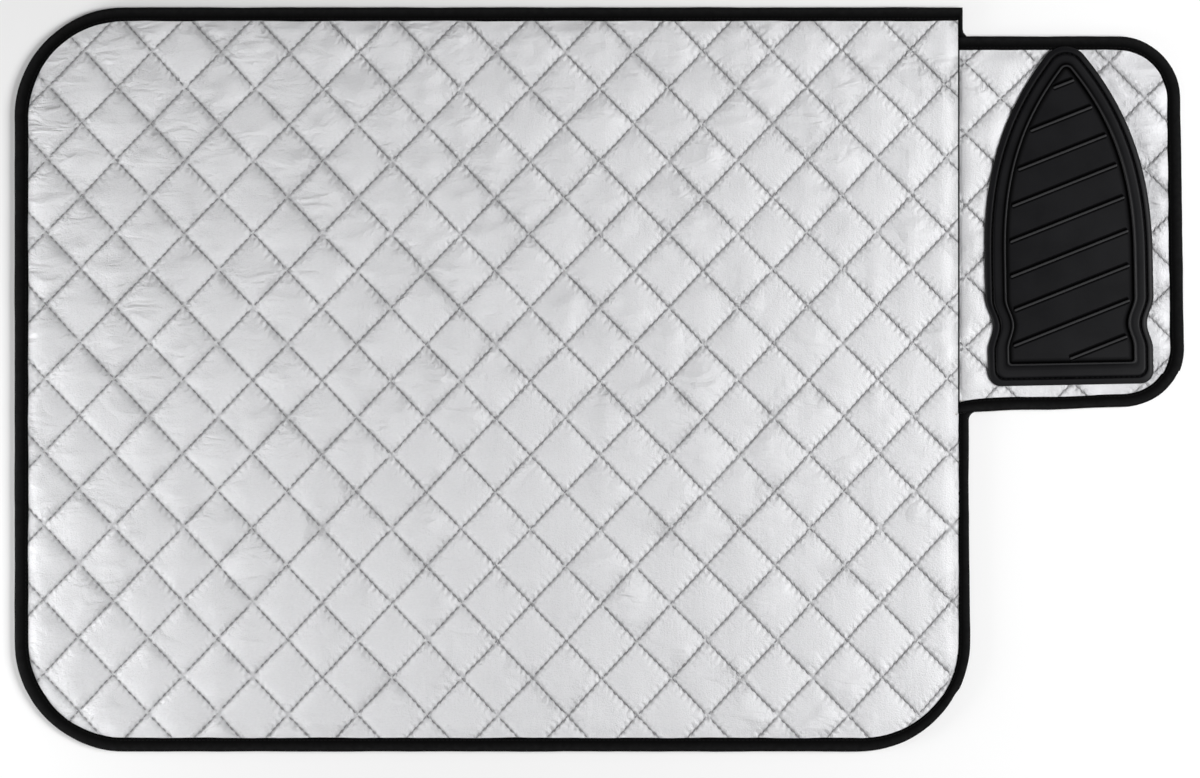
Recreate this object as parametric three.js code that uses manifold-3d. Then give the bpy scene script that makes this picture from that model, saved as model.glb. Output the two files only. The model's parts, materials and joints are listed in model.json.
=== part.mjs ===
// Quilted table-top ironing pad: a large padded panel, a small wing sewn to its right edge,
// and a moulded silicone iron rest on the wing. The wing folds up and over along its seam.
// Millimetres. +X runs along the pad, +Y towards its top edge, +Z up from the table.

import * as THREE from "three";
import { mergeVertices } from "three/addons/utils/BufferGeometryUtils.js";
import Module from "manifold-3d";

const wasm = await Module();
wasm.setup();

// Main panel, measured over its binding
const MAIN_LENGTH = 659;
const MAIN_DEPTH = 514;
const MAIN_CORNER_RADIUS = 76;

// Wing, measured from the seam to its free edges
const WING_LENGTH = 154.6;
const WING_DEPTH = 258;
const WING_DROP = 20; // from the top edge of the main panel down to that of the wing
const WING_CORNER_RADIUS = 43;

// Seam between the panels, and the folded edge of the wing that is sewn into the main panel
const SEAM_GAP = 0.3; // on each side of the fold line
const SEAM_LIP = 0.4; // flat edge of each cover beside the seam
const ALLOWANCE_WIDTH = 8;

// Layers, from the table up
const BACKING_THICKNESS = 0.6;
const FILM_THICKNESS = 0.2;
const WADDING_EDGE_THICKNESS = 0.7; // where the binding presses it
const COVER_THICKNESS = 0.9; // along the stitching, with its batting pressed flat
const PILLOW_RISE = 2.5; // from the stitching to the crown of a diamond
const PILLOW_EDGE_RUN = 12; // over which the pillows sink towards an edge
const STEP_RUN = 2; // over which the lower layers rise on to the binding

// Binding tape, folded in a U round the edge
const BINDING_WIDTH = 9.3;
const BINDING_THICKNESS = 0.8;
const BINDING_WALL = 1.4; // at the fold
const BINDING_ROUND = 1.8; // run of the rounded fold
const RIGHT_BINDING_WIDTH = 7; // below the wing
const CORNER_END_WIDTH = 3.5; // short end of the tape above the wing
const CORNER_END_OVERHANG = 2.8; // of that end past the seam
const FOLD_RAMP = 5; // run per millimetre of height, cut from the ends of the wing's tape

// Diamond quilting: width and height of a diamond, and one crossing of its lines
const MAIN_DIAMOND_WIDTH = 48;
const MAIN_DIAMOND_HEIGHT = 50.7;
const MAIN_CROSSING_FROM_SEAM = 10.8;
const MAIN_CROSSING_FROM_TOP = 53.7;
const WING_DIAMOND_WIDTH = 49;
const WING_DIAMOND_HEIGHT = 49.7;
const WING_CROSSING_FROM_SEAM = 4.2;
const WING_CROSSING_FROM_TOP = 17.9;

// Iron rest in plan, along its own axis from the straight base to the tip
const REST_LENGTH = 233.6;
const REST_WIDTH = 116;
const REST_BASE_WIDTH = 114;
const REST_WAIST_DEPTH = 4.3; // of the dip in each side
const REST_WAIST_HEIGHT = 42; // from the base
const REST_WAIST_SPREAD = 18; // to each side of the dip
const REST_CORNER_RADIUS = 9;
const REST_SIDE_START = 88; // height where the sides begin to close in
const REST_SIDE_PULL = 42.7; // reach of the side's curve from its start
const REST_TIP_PULL = 61.5; // and back from the tip
const REST_TIP_ANGLE = 38.4; // degrees, of the side to the axis at the tip
const REST_FROM_WING_BOTTOM = 17.2;
const REST_TILT = 1.1; // degrees, as it was sewn on

// Iron rest in section, from its outer edge inwards
const REST_FLANGE_HEIGHT = 2.4;
const REST_RIM_HEIGHT = 3.0;
const REST_BEAD_HEIGHT = 3.4;
const REST_FLOOR_HEIGHT = 1.8;
const REST_EDGE_ROUND = 0.8;
const GROOVE_INSET = 4.8;
const GROOVE_WIDTH = 1.6;
const GROOVE_DEPTH = 0.9;
const BEAD_INSET = 12.6;
const BEAD_WIDTH = 2.2;
const BEAD_CORNER_RADIUS = 5.5;
const BEAD_TIP_RADIUS = 2.4;
const THREAD_DIAMETER = 0.7;

// Ribs of the iron rest
const RIB_COUNT = 9;
const RIB_PITCH = 24; // along the axis
const FIRST_RIB_HEIGHT = 18.2; // where the lowest rib meets the axis
const RIB_ANGLE = 20.4; // degrees from the base line
const RIB_WIDTH = 2;
const RIB_END_GAP = 2.4; // from the bead

// Clearance between a piece and what it is fitted over
const FIT_CLEARANCE = 0.3;

// Fineness of the round stretches
const CORNER_SEGMENTS = 9;
const CURVE_SEGMENTS = 9;

// Heights worked out from the layers
const EDGE_LIFT = BINDING_THICKNESS + FIT_CLEARANCE;
const BACKING_TOP = BACKING_THICKNESS;
const FILM_TOP = BACKING_TOP + FILM_THICKNESS;
const WADDING_TOP = FILM_TOP + EDGE_LIFT + WADDING_EDGE_THICKNESS;
const COVER_TOP = WADDING_TOP + COVER_THICKNESS;
const BINDING_HEIGHT = COVER_TOP + FIT_CLEARANCE + BINDING_THICKNESS;
const REST_UNDERSIDE = BINDING_HEIGHT + FIT_CLEARANCE;

// Places worked out from the sizes, with the origin under the middle of the whole pad
const OVERALL_LENGTH = MAIN_LENGTH - RIGHT_BINDING_WIDTH + WING_LENGTH;
const LEFT = -OVERALL_LENGTH / 2;
const RIGHT = LEFT + MAIN_LENGTH;
const SEAM_X = RIGHT - RIGHT_BINDING_WIDTH;
const WING_RIGHT = OVERALL_LENGTH / 2;
const TOP = MAIN_DEPTH / 2;
const BOTTOM = -MAIN_DEPTH / 2;
const WING_TOP = TOP - WING_DROP;
const WING_BOTTOM = WING_TOP - WING_DEPTH;
const MAIN_SEAM_EDGE = SEAM_X - SEAM_GAP;
const WING_SEAM_EDGE = SEAM_X + SEAM_GAP;
const SHEET_INSET = BINDING_WALL + FIT_CLEARANCE; // from the outside of the tape to the cloth

const radians = THREE.MathUtils.degToRad;

// A skin collects the triangles of a closed surface, each wound anticlockwise from outside.
class Skin {
  points = [];

  triangle(a, b, c) {
    this.points.push(a, b, c);
  }

  quad(a, b, c, d) {
    this.triangle(a, b, c);
    this.triangle(a, c, d);
  }

  geometry() {
    const loose = new THREE.BufferGeometry().setFromPoints(this.points);
    const made = mergeVertices(loose, 1e-4);
    made.computeVertexNormals();
    return made;
  }
}

const raise = (point, z) => new THREE.Vector3(point.x, point.y, z);
const next = (list, i) => list[(i + 1) % list.length];

// A corner of an outline: its place, and the radius that rounds it.
const corner = (x, y, radius = 0) => ({ x, y, radius });

// The points of one rounded corner between its two neighbours.
function cornerPoints(before, here, after) {
  const middle = new THREE.Vector2(here.x, here.y);
  if (here.radius === 0) return [middle];
  const back = new THREE.Vector2(before.x, before.y).sub(middle).normalize();
  const ahead = new THREE.Vector2(after.x, after.y).sub(middle).normalize();
  const half = Math.acos(back.dot(ahead)) / 2;
  const centre = back.clone().add(ahead).normalize();
  centre.multiplyScalar(here.radius / Math.sin(half)).add(middle);
  const start = back.multiplyScalar(here.radius / Math.tan(half)).add(middle).sub(centre).angle();
  const end = ahead.multiplyScalar(here.radius / Math.tan(half)).add(middle).sub(centre).angle();
  const turn = end < start ? end + 2 * Math.PI : end;
  const arc = new THREE.EllipseCurve(centre.x, centre.y, here.radius, here.radius, start, turn);
  return arc.getPoints(CORNER_SEGMENTS);
}

// A closed outline, anticlockwise from above.
function closedOutline(corners) {
  return corners.flatMap((here, i) => {
    const before = corners[(i + corners.length - 1) % corners.length];
    return cornerPoints(before, here, next(corners, i));
  });
}

// An open path, rounded at its inner corners.
function openPath(corners) {
  return corners.flatMap((here, i) => {
    const atEnd = i === 0 || i === corners.length - 1;
    return cornerPoints(corners[i - 1], atEnd ? corner(here.x, here.y) : here, corners[i + 1]);
  });
}

// A flat face between an outline and any holes, facing up or down.
function addFace(skin, outline, holes, z, up) {
  const all = [outline, ...holes].flat();
  for (const [a, b, c] of THREE.ShapeUtils.triangulateShape(outline, holes)) {
    const [p, q, r] = [a, b, c].map((index) => raise(all[index], z));
    const anticlockwise = q.clone().sub(p).cross(r.clone().sub(p)).z > 0;
    if (anticlockwise === up) skin.triangle(p, q, r);
    else skin.triangle(p, r, q);
  }
}

// A sloping band between two outlines with as many points each.
function addBand(skin, outer, outerZ, inner, innerZ, up) {
  outer.forEach((point, i) => {
    const a = raise(point, outerZ);
    const b = raise(next(outer, i), outerZ);
    const c = raise(next(inner, i), innerZ);
    const d = raise(inner[i], innerZ);
    if (up) skin.quad(a, b, c, d);
    else skin.quad(d, c, b, a);
  });
}

// An upright wall round an outline.
function addWall(skin, outline, bottom, top) {
  addBand(skin, outline, bottom, outline, top, true);
}

// A section swept along a path. pathAt(inset, height) gives the path's points for one point of
// the section, which runs anticlockwise with its inset to the left of the path.
function sweep(section, pathAt, closed) {
  const skin = new Skin();
  const rows = section.map(([inset, z]) => pathAt(inset, z).map((point) => raise(point, z)));
  rows.forEach((row, j) => {
    const above = next(rows, j);
    const steps = closed ? row.length : row.length - 1;
    for (let i = 0; i < steps; i += 1) {
      skin.quad(row[i], above[i], next(above, i), next(row, i));
    }
  });
  if (!closed) {
    const flat = section.map(([inset, z]) => new THREE.Vector2(inset, z));
    for (const [a, b, c] of THREE.ShapeUtils.triangulateShape(flat, [])) {
      skin.triangle(rows[c][0], rows[b][0], rows[a][0]);
      skin.triangle(rows[a].at(-1), rows[b].at(-1), rows[c].at(-1));
    }
  }
  return skin.geometry();
}

// Joining and cutting
function solidOf(geometry) {
  const bare = geometry.clone();
  bare.deleteAttribute("normal");
  bare.deleteAttribute("uv");
  const merged = mergeVertices(bare, 1e-4);
  const mesh = new wasm.Mesh({
    numProp: 3,
    vertProperties: merged.attributes.position.array,
    triVerts: new Uint32Array(merged.index.array),
  });
  return new wasm.Manifold(mesh);
}

function geometryOf(solid) {
  const mesh = solid.getMesh();
  const geometry = new THREE.BufferGeometry();
  geometry.setAttribute("position", new THREE.BufferAttribute(mesh.vertProperties, 3));
  geometry.setIndex(new THREE.BufferAttribute(mesh.triVerts, 1));
  geometry.computeVertexNormals();
  return geometry;
}

function prism(outline, bottom, top) {
  const shape = new THREE.Shape(outline);
  const geometry = new THREE.ExtrudeGeometry(shape, { depth: top - bottom, bevelEnabled: false });
  return geometry.translate(0, 0, bottom);
}

function block(left, right, front, back, bottom, top) {
  const geometry = new THREE.BoxGeometry(right - left, back - front, top - bottom);
  return geometry.translate((left + right) / 2, (front + back) / 2, (bottom + top) / 2);
}

// Outlines of the main panel's cloth, and of the part that its binding leaves open
function mainOutline() {
  const radius = MAIN_CORNER_RADIUS - SHEET_INSET;
  const left = LEFT + SHEET_INSET;
  const right = RIGHT - SHEET_INSET;
  const notch = WING_BOTTOM - SEAM_GAP;
  return closedOutline([
    corner(left, BOTTOM + SHEET_INSET, radius),
    corner(right, BOTTOM + SHEET_INSET, radius),
    corner(right, notch),
    corner(MAIN_SEAM_EDGE, notch),
    corner(MAIN_SEAM_EDGE, TOP - SHEET_INSET),
    corner(left, TOP - SHEET_INSET, radius),
  ]);
}

function mainWindow(inset) {
  const edge = BINDING_WIDTH + inset;
  const right = MAIN_SEAM_EDGE - SEAM_LIP - inset;
  const radius = MAIN_CORNER_RADIUS - edge;
  return closedOutline([
    corner(LEFT + edge, BOTTOM + edge, radius),
    corner(right, BOTTOM + edge, radius),
    corner(right, TOP - edge),
    corner(LEFT + edge, TOP - edge, radius),
  ]);
}

// The same for the wing
function wingOutline() {
  const radius = WING_CORNER_RADIUS - SHEET_INSET;
  return closedOutline([
    corner(WING_SEAM_EDGE, WING_BOTTOM + SHEET_INSET),
    corner(WING_RIGHT - SHEET_INSET, WING_BOTTOM + SHEET_INSET, radius),
    corner(WING_RIGHT - SHEET_INSET, WING_TOP - SHEET_INSET, radius),
    corner(WING_SEAM_EDGE, WING_TOP - SHEET_INSET),
  ]);
}

function wingWindow(inset) {
  const edge = BINDING_WIDTH + inset;
  const left = WING_SEAM_EDGE + SEAM_LIP + inset;
  const radius = WING_CORNER_RADIUS - edge;
  return closedOutline([
    corner(left, WING_BOTTOM + edge),
    corner(WING_RIGHT - edge, WING_BOTTOM + edge, radius),
    corner(WING_RIGHT - edge, WING_TOP - edge, radius),
    corner(left, WING_TOP - edge),
  ]);
}

// Diamond quilting
const mainQuilt = {
  width: MAIN_DIAMOND_WIDTH,
  height: MAIN_DIAMOND_HEIGHT,
  crossing: new THREE.Vector2(SEAM_X - MAIN_CROSSING_FROM_SEAM, TOP - MAIN_CROSSING_FROM_TOP),
  divisions: 1,
};

const wingQuilt = {
  width: WING_DIAMOND_WIDTH,
  height: WING_DIAMOND_HEIGHT,
  crossing: new THREE.Vector2(SEAM_X + WING_CROSSING_FROM_SEAM, WING_TOP - WING_CROSSING_FROM_TOP),
  divisions: 2,
};

// Steps along the two families of stitch lines, counted in diamonds from the named crossing.
function quiltSteps(quilt, point) {
  const across = (point.x - quilt.crossing.x) / quilt.width;
  const along = (point.y - quilt.crossing.y) / quilt.height;
  return [across + along, across - along];
}

function quiltPoint(quilt, rising, falling) {
  const x = quilt.crossing.x + ((rising + falling) * quilt.width) / 2;
  const y = quilt.crossing.y + ((rising - falling) * quilt.height) / 2;
  return new THREE.Vector2(x, y);
}

// The part of a convex polygon that lies to the left of the line from a to b.
function clipByLine(polygon, a, b) {
  const side = (p) => (b.x - a.x) * (p.y - a.y) - (b.y - a.y) * (p.x - a.x);
  return polygon.flatMap((p, i) => {
    const q = next(polygon, i);
    const here = side(p);
    const there = side(q);
    const kept = here >= 0 ? [p] : [];
    if (here >= 0 === there >= 0) return kept;
    return [...kept, p.clone().lerp(q, here / (here - there))];
  });
}

function clipToOutline(polygon, outline) {
  return outline.reduce((left, a, i) => clipByLine(left, a, next(outline, i)), polygon);
}

// Points closer than this count as one, so that no sliver is left beside an edge.
const WELD = 1;

function welder() {
  const known = [];
  return (point) => {
    const found = known.find((other) => other.distanceTo(point) < WELD);
    if (found) return found;
    known.push(point);
    return point;
  };
}

// The diamonds inside an outline, or equal divisions of them, cut to the outline.
function quiltCells(quilt, outline) {
  const steps = outline.map((point) => quiltSteps(quilt, point));
  const size = 1 / quilt.divisions;
  const low = [0, 1].map((k) => Math.floor(Math.min(...steps.map((s) => s[k]))));
  const high = [0, 1].map((k) => Math.ceil(Math.max(...steps.map((s) => s[k]))));
  const weld = welder();
  const cells = [];
  for (let r = low[0]; r < high[0]; r += size) {
    for (let f = low[1]; f < high[1]; f += size) {
      const corners = [[r, f], [r, f + size], [r + size, f + size], [r + size, f]];
      const diamond = corners.map(([rising, falling]) => quiltPoint(quilt, rising, falling));
      const cut = clipToOutline(diamond, outline).map(weld);
      const cell = cut.filter((point, i) => point !== next(cut, i));
      if (cell.length > 2 && Math.abs(THREE.ShapeUtils.area(cell)) > WELD) cells.push(cell);
    }
  }
  return cells;
}

function centroid(polygon) {
  const middle = new THREE.Vector2();
  let whole = 0;
  polygon.forEach((p, i) => {
    const q = next(polygon, i);
    const part = p.x * q.y - q.x * p.y;
    middle.addScaledVector(p, part).addScaledVector(q, part);
    whole += part;
  });
  return middle.divideScalar(3 * whole);
}

function distanceToOutline(point, outline) {
  const nearest = new THREE.Vector3();
  const here = raise(point, 0);
  const distances = outline.map((a, i) => {
    const edge = new THREE.Line3(raise(a, 0), raise(next(outline, i), 0));
    return edge.closestPointToPoint(here, true, nearest).distanceTo(here);
  });
  return Math.min(...distances);
}

// A diamond swells from its stitch lines to its middle, less so near the edge of the panel.
function pillowHeight(quilt, outline, point) {
  const [rising, falling] = quiltSteps(quilt, point);
  const swell = Math.abs(Math.sin(Math.PI * rising) * Math.sin(Math.PI * falling));
  const edge = Math.min(1, distanceToOutline(point, outline) / PILLOW_EDGE_RUN);
  return COVER_TOP + PILLOW_RISE * Math.sqrt(swell) * edge;
}

// The loop of cell edges that only one cell has: the rim of the quilted area.
function rimOfCells(cells) {
  const following = new Map();
  const has = (from, to) => following.get(from)?.has(to);
  cells.forEach((cell) =>
    cell.forEach((from, i) => {
      const to = next(cell, i);
      if (has(to, from)) following.get(to).delete(from);
      else following.set(from, (following.get(from) ?? new Set()).add(to));
    }),
  );
  const start = [...following.keys()].find((point) => following.get(point).size === 1);
  const loop = [start];
  for (;;) {
    const [to] = following.get(loop.at(-1));
    if (to === start) return loop;
    loop.push(to);
  }
}

// Quilted cover: pillows on top, flat below, thin at the edge that goes into the binding.
function quiltedCover(quilt, outline, window) {
  const skin = new Skin();
  const cells = quiltCells(quilt, window);
  const rim = new Set(rimOfCells(cells));
  const lift = (p) => raise(p, rim.has(p) ? COVER_TOP : pillowHeight(quilt, window, p));
  for (const cell of cells) {
    const crown = lift(centroid(cell));
    cell.forEach((point, i) => skin.triangle(lift(point), lift(next(cell, i)), crown));
  }
  addFace(skin, outline, [[...rim]], COVER_TOP, true);
  addFace(skin, outline, [], WADDING_TOP, false);
  addWall(skin, outline, WADDING_TOP, COVER_TOP);
  return skin.geometry();
}

// A layer under the cover. It lies low inside the window and rises on to the binding at the edge.
function layer(outline, rim, floor, bottom, top) {
  const skin = new Skin();
  addFace(skin, outline, [rim], top.edge, true);
  addBand(skin, rim, top.edge, floor, top.floor, true);
  addFace(skin, floor, [], top.floor, true);
  addFace(skin, outline, [rim], bottom.edge, false);
  addBand(skin, rim, bottom.edge, floor, bottom.floor, false);
  addFace(skin, floor, [], bottom.floor, false);
  addWall(skin, outline, bottom.edge, top.edge);
  return skin.geometry();
}

const stepped = (z) => ({ edge: z + EDGE_LIFT, floor: z });
const level = (z) => ({ edge: z, floor: z });

const mainLayer = (bottom, top) =>
  layer(mainOutline(), mainWindow(0), mainWindow(STEP_RUN), bottom, top);
const wingLayer = (bottom, top) =>
  layer(wingOutline(), wingWindow(0), wingWindow(STEP_RUN), bottom, top);

// Folded edge of the wing, sewn in between the film and the cover of the main panel
const allowance = {
  right: MAIN_SEAM_EDGE - SEAM_LIP - STEP_RUN - FIT_CLEARANCE,
  front: WING_BOTTOM + SHEET_INSET,
  back: WING_TOP - SHEET_INSET,
};
allowance.left = allowance.right - ALLOWANCE_WIDTH;

function seamAllowance() {
  const { left, right, front, back } = allowance;
  return block(left, right, front, back, FILM_TOP, WADDING_TOP);
}

function mainWadding() {
  const room = block(
    allowance.left - FIT_CLEARANCE,
    SEAM_X,
    allowance.front - FIT_CLEARANCE,
    allowance.back + FIT_CLEARANCE,
    0,
    COVER_TOP,
  );
  const pad = mainLayer(stepped(FILM_TOP), level(WADDING_TOP));
  return geometryOf(solidOf(pad).subtract(solidOf(room)));
}

// Binding tape in section: inset from the outer edge, and height
function tapeSection() {
  const halfRound = [
    [BINDING_ROUND * (1 - Math.SQRT1_2), (BINDING_HEIGHT / 2) * (1 + Math.SQRT1_2)],
    [0, BINDING_HEIGHT / 2],
    [BINDING_ROUND * (1 - Math.SQRT1_2), (BINDING_HEIGHT / 2) * (1 - Math.SQRT1_2)],
  ];
  return [
    [BINDING_ROUND, 0],
    [BINDING_WIDTH, 0],
    [BINDING_WIDTH, BINDING_THICKNESS],
    [BINDING_WALL, BINDING_THICKNESS],
    [BINDING_WALL, BINDING_HEIGHT - BINDING_THICKNESS],
    [BINDING_WIDTH, BINDING_HEIGHT - BINDING_THICKNESS],
    [BINDING_WIDTH, BINDING_HEIGHT],
    [BINDING_ROUND, BINDING_HEIGHT],
    ...halfRound,
  ];
}

// From above the wing, anticlockwise round the main panel, to below the wing
function mainTapePath(inset) {
  const radius = MAIN_CORNER_RADIUS - inset;
  const share = inset / BINDING_WIDTH;
  const endX = SEAM_X + CORNER_END_OVERHANG - CORNER_END_WIDTH * share;
  const rightX = RIGHT - RIGHT_BINDING_WIDTH * share;
  return openPath([
    corner(endX, WING_TOP + SEAM_GAP),
    corner(endX, TOP - inset),
    corner(LEFT + inset, TOP - inset, radius),
    corner(LEFT + inset, BOTTOM + inset, radius),
    corner(rightX, BOTTOM + inset, radius),
    corner(rightX, WING_BOTTOM - SEAM_GAP),
  ]);
}

// Round the three free sides of the wing. Its ends slope back above the fold line.
function wingTapePath(inset, z) {
  const radius = WING_CORNER_RADIUS - inset;
  const endX = WING_SEAM_EDGE + FOLD_RAMP * Math.max(0, z - COVER_TOP);
  return openPath([
    corner(endX, WING_BOTTOM + inset),
    corner(WING_RIGHT - inset, WING_BOTTOM + inset, radius),
    corner(WING_RIGHT - inset, WING_TOP - inset, radius),
    corner(endX, WING_TOP - inset),
  ]);
}

// Iron rest: half of its outline at an inset, from the middle of the base to the tip
function restHalf(inset) {
  const share = inset / BEAD_INSET;
  const round = THREE.MathUtils.lerp(REST_CORNER_RADIUS, BEAD_CORNER_RADIUS, share);
  const baseX = REST_BASE_WIDTH / 2 - inset;
  const foot = new THREE.EllipseCurve(baseX - round, inset + round, round, round, -Math.PI / 2, 0);
  return [
    new THREE.Vector2(0, inset),
    ...foot.getPoints(4),
    ...restWaist(inset),
    ...restSide(inset),
  ];
}

// The dip above the base, which is a little narrower than the body
function restWaist(inset) {
  const points = [];
  const steps = 8;
  for (let i = 0; i <= steps; i += 1) {
    const offset = (2 * i) / steps - 1;
    const body = THREE.MathUtils.smoothstep(offset, -1, 1);
    const half = THREE.MathUtils.lerp(REST_BASE_WIDTH, REST_WIDTH, body) / 2;
    const dip = (REST_WAIST_DEPTH * (1 + Math.cos(Math.PI * offset))) / 2;
    points.push(new THREE.Vector2(half - dip - inset, REST_WAIST_HEIGHT + offset * REST_WAIST_SPREAD));
  }
  return points;
}

// The side that closes in to the round tip
function restSide(inset) {
  const tipRadius = BEAD_INSET + BEAD_WIDTH + BEAD_TIP_RADIUS;
  const angle = radians(REST_TIP_ANGLE);
  const tipCentre = new THREE.Vector2(0, REST_LENGTH - tipRadius);
  const out = new THREE.Vector2(Math.cos(angle), Math.sin(angle));
  const end = out.clone().multiplyScalar(tipRadius).add(tipCentre);
  const start = new THREE.Vector2(REST_WIDTH / 2, REST_SIDE_START);
  const side = new THREE.CubicBezierCurve(
    start,
    new THREE.Vector2(start.x, start.y + REST_SIDE_PULL),
    new THREE.Vector2(end.x + out.y * REST_TIP_PULL, end.y - out.x * REST_TIP_PULL),
    end,
  );
  const points = [];
  for (let i = 0; i < CURVE_SEGMENTS; i += 1) {
    const along = side.getTangent(i / CURVE_SEGMENTS);
    const inward = new THREE.Vector2(-along.y, along.x).multiplyScalar(inset);
    points.push(side.getPoint(i / CURVE_SEGMENTS).add(inward));
  }
  const radius = tipRadius - inset;
  const tip = new THREE.EllipseCurve(0, tipCentre.y, radius, radius, angle, Math.PI / 2);
  return [...points, ...tip.getPoints(4)];
}

// The whole outline, anticlockwise, about the rest's own axis
function restContour(inset) {
  const half = restHalf(inset);
  const mirrored = half.slice(1, -1).reverse();
  return [...half, ...mirrored.map((point) => new THREE.Vector2(-point.x, point.y))];
}

// From the rest's own axes to its place on the wing
function placeRest(geometry) {
  const middle = (SEAM_X + WING_RIGHT) / 2;
  geometry.rotateZ(radians(REST_TILT));
  return geometry.translate(middle, WING_BOTTOM + REST_FROM_WING_BOTTOM, REST_UNDERSIDE);
}

const GROOVE_FLOOR = REST_FLANGE_HEIGHT - GROOVE_DEPTH;

// Inset and height of the rest's upper side, from its outer edge in to the floor
function restSection() {
  const grooveIn = GROOVE_INSET + GROOVE_WIDTH / 2;
  const grooveOut = GROOVE_INSET - GROOVE_WIDTH / 2;
  const beadOut = BEAD_INSET - BEAD_WIDTH / 2;
  const beadIn = BEAD_INSET + BEAD_WIDTH / 2;
  return [
    [0, 0],
    [0, REST_FLANGE_HEIGHT - REST_EDGE_ROUND],
    [REST_EDGE_ROUND, REST_FLANGE_HEIGHT],
    [grooveOut, REST_FLANGE_HEIGHT],
    [grooveOut, GROOVE_FLOOR],
    [grooveIn, GROOVE_FLOOR],
    [grooveIn, REST_RIM_HEIGHT - REST_EDGE_ROUND],
    [grooveIn + REST_EDGE_ROUND, REST_RIM_HEIGHT],
    [beadOut, REST_RIM_HEIGHT],
    [BEAD_INSET, REST_BEAD_HEIGHT],
    [beadIn, REST_FLOOR_HEIGHT],
  ];
}

// Where a rib's middle line crosses the edge of the floor, as far left and right as it reaches
function ribEnds(height) {
  const edge = restContour(BEAD_INSET + BEAD_WIDTH / 2 + RIB_END_GAP);
  const along = new THREE.Vector2(1, 0).rotateAround(new THREE.Vector2(), radians(RIB_ANGLE));
  const side = (p) => along.x * (p.y - height) - along.y * p.x;
  const crossings = edge.flatMap((p, i) => {
    const q = next(edge, i);
    if (side(p) >= 0 === side(q) >= 0) return [];
    return [p.clone().lerp(q, side(p) / (side(p) - side(q)))];
  });
  crossings.sort((a, b) => a.dot(along) - b.dot(along));
  return [crossings[0], crossings.at(-1)];
}

// A rib is a round bar sunk to half its depth in the floor.
function rib(height) {
  const [left, right] = ribEnds(height);
  const length = left.distanceTo(right) - RIB_WIDTH;
  const bar = new THREE.CapsuleGeometry(RIB_WIDTH / 2, length, 2, 8);
  bar.rotateZ(radians(RIB_ANGLE) - Math.PI / 2);
  return bar.translate((left.x + right.x) / 2, (left.y + right.y) / 2, REST_FLOOR_HEIGHT);
}

function ironRest() {
  const skin = new Skin();
  const section = restSection();
  const contours = section.map(([inset]) => restContour(inset));
  addFace(skin, contours[0], [], 0, false);
  for (let j = 1; j < section.length; j += 1) {
    addBand(skin, contours[j - 1], section[j - 1][1], contours[j], section[j][1], true);
  }
  addFace(skin, contours.at(-1), [], REST_FLOOR_HEIGHT, true);
  let moulding = solidOf(skin.geometry());
  for (let i = 0; i < RIB_COUNT; i += 1) {
    moulding = moulding.add(solidOf(rib(FIRST_RIB_HEIGHT + i * RIB_PITCH)));
  }
  return placeRest(geometryOf(moulding));
}

// Stitching thread that lies in the groove of the rest
function restThread() {
  const radius = THREAD_DIAMETER / 2;
  const section = [];
  for (let i = 0; i < 6; i += 1) {
    const angle = (i * Math.PI) / 3;
    const inset = GROOVE_INSET + radius * Math.cos(angle);
    section.push([inset, GROOVE_FLOOR + radius + radius * Math.sin(angle)]);
  }
  return placeRest(sweep(section, restContour, true));
}

// The rest presses the cover of the wing down to its own underside.
function wingCover() {
  const cover = quiltedCover(wingQuilt, wingOutline(), wingWindow(0));
  const room = placeRest(prism(restContour(-FIT_CLEARANCE), -FIT_CLEARANCE, REST_BEAD_HEIGHT));
  return geometryOf(solidOf(cover).subtract(solidOf(room)));
}

// Materials
const cloth = (color, roughness) => new THREE.MeshStandardMaterial({ color, roughness, metalness: 0 });
const silverCloth = () => new THREE.MeshStandardMaterial({ color: 0xd3d5d8, roughness: 0.5, metalness: 0.3 });
const film = () => new THREE.MeshStandardMaterial({ color: 0xc9ccd0, roughness: 0.35, metalness: 0.8 });
const felt = () => cloth(0xf0eee8, 0.95);
const backing = () => cloth(0xd6d6d3, 0.9);
const blackTape = () => cloth(0x131315, 0.85);
const silicone = () => cloth(0x1c1c1e, 0.55);
const blackThread = () => cloth(0x101011, 0.7);

function piece(name, geometry, material) {
  const mesh = new THREE.Mesh(geometry, material);
  mesh.name = name;
  return mesh;
}

const mainPanel = new THREE.Group();
mainPanel.name = "main_panel";
mainPanel.add(
  piece("main_cover", quiltedCover(mainQuilt, mainOutline(), mainWindow(0)), silverCloth()),
  piece("main_wadding", mainWadding(), felt()),
  piece("main_heat_film", mainLayer(stepped(BACKING_TOP), stepped(FILM_TOP)), film()),
  piece("main_backing", mainLayer(stepped(0), stepped(BACKING_TOP)), backing()),
  piece("main_binding", sweep(tapeSection(), mainTapePath, false), blackTape()),
  piece("seam_allowance", seamAllowance(), silverCloth()),
);

const wing = new THREE.Group();
wing.name = "wing";
wing.add(
  piece("wing_cover", wingCover(), silverCloth()),
  piece("wing_wadding", wingLayer(stepped(FILM_TOP), level(WADDING_TOP)), felt()),
  piece("wing_heat_film", wingLayer(stepped(BACKING_TOP), stepped(FILM_TOP)), film()),
  piece("wing_backing", wingLayer(stepped(0), stepped(BACKING_TOP)), backing()),
  piece("wing_binding", sweep(tapeSection(), wingTapePath, false), blackTape()),
  piece("iron_rest", ironRest(), silicone()),
  piece("rest_thread", restThread(), blackThread()),
);

const ironingPad = new THREE.Group();
ironingPad.name = "ironing_pad";
ironingPad.add(mainPanel, wing);

export default ironingPad;
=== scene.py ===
# %% [markdown]
# # A quilted ironing pad
# The pad lies flat on a table: a big quilted panel in silver-coated cotton, a small wing sewn to its
# right edge, black tape folded round both, and a black silicone rest for the hot iron on the wing.
# We load the CAD solids first. They say where everything is, and soft pieces will take their places.

# %% Load the frame
import json
import math

import bmesh
import bpy
import numpy as np
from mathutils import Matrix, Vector
from mathutils.bvhtree import BVHTree


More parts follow.
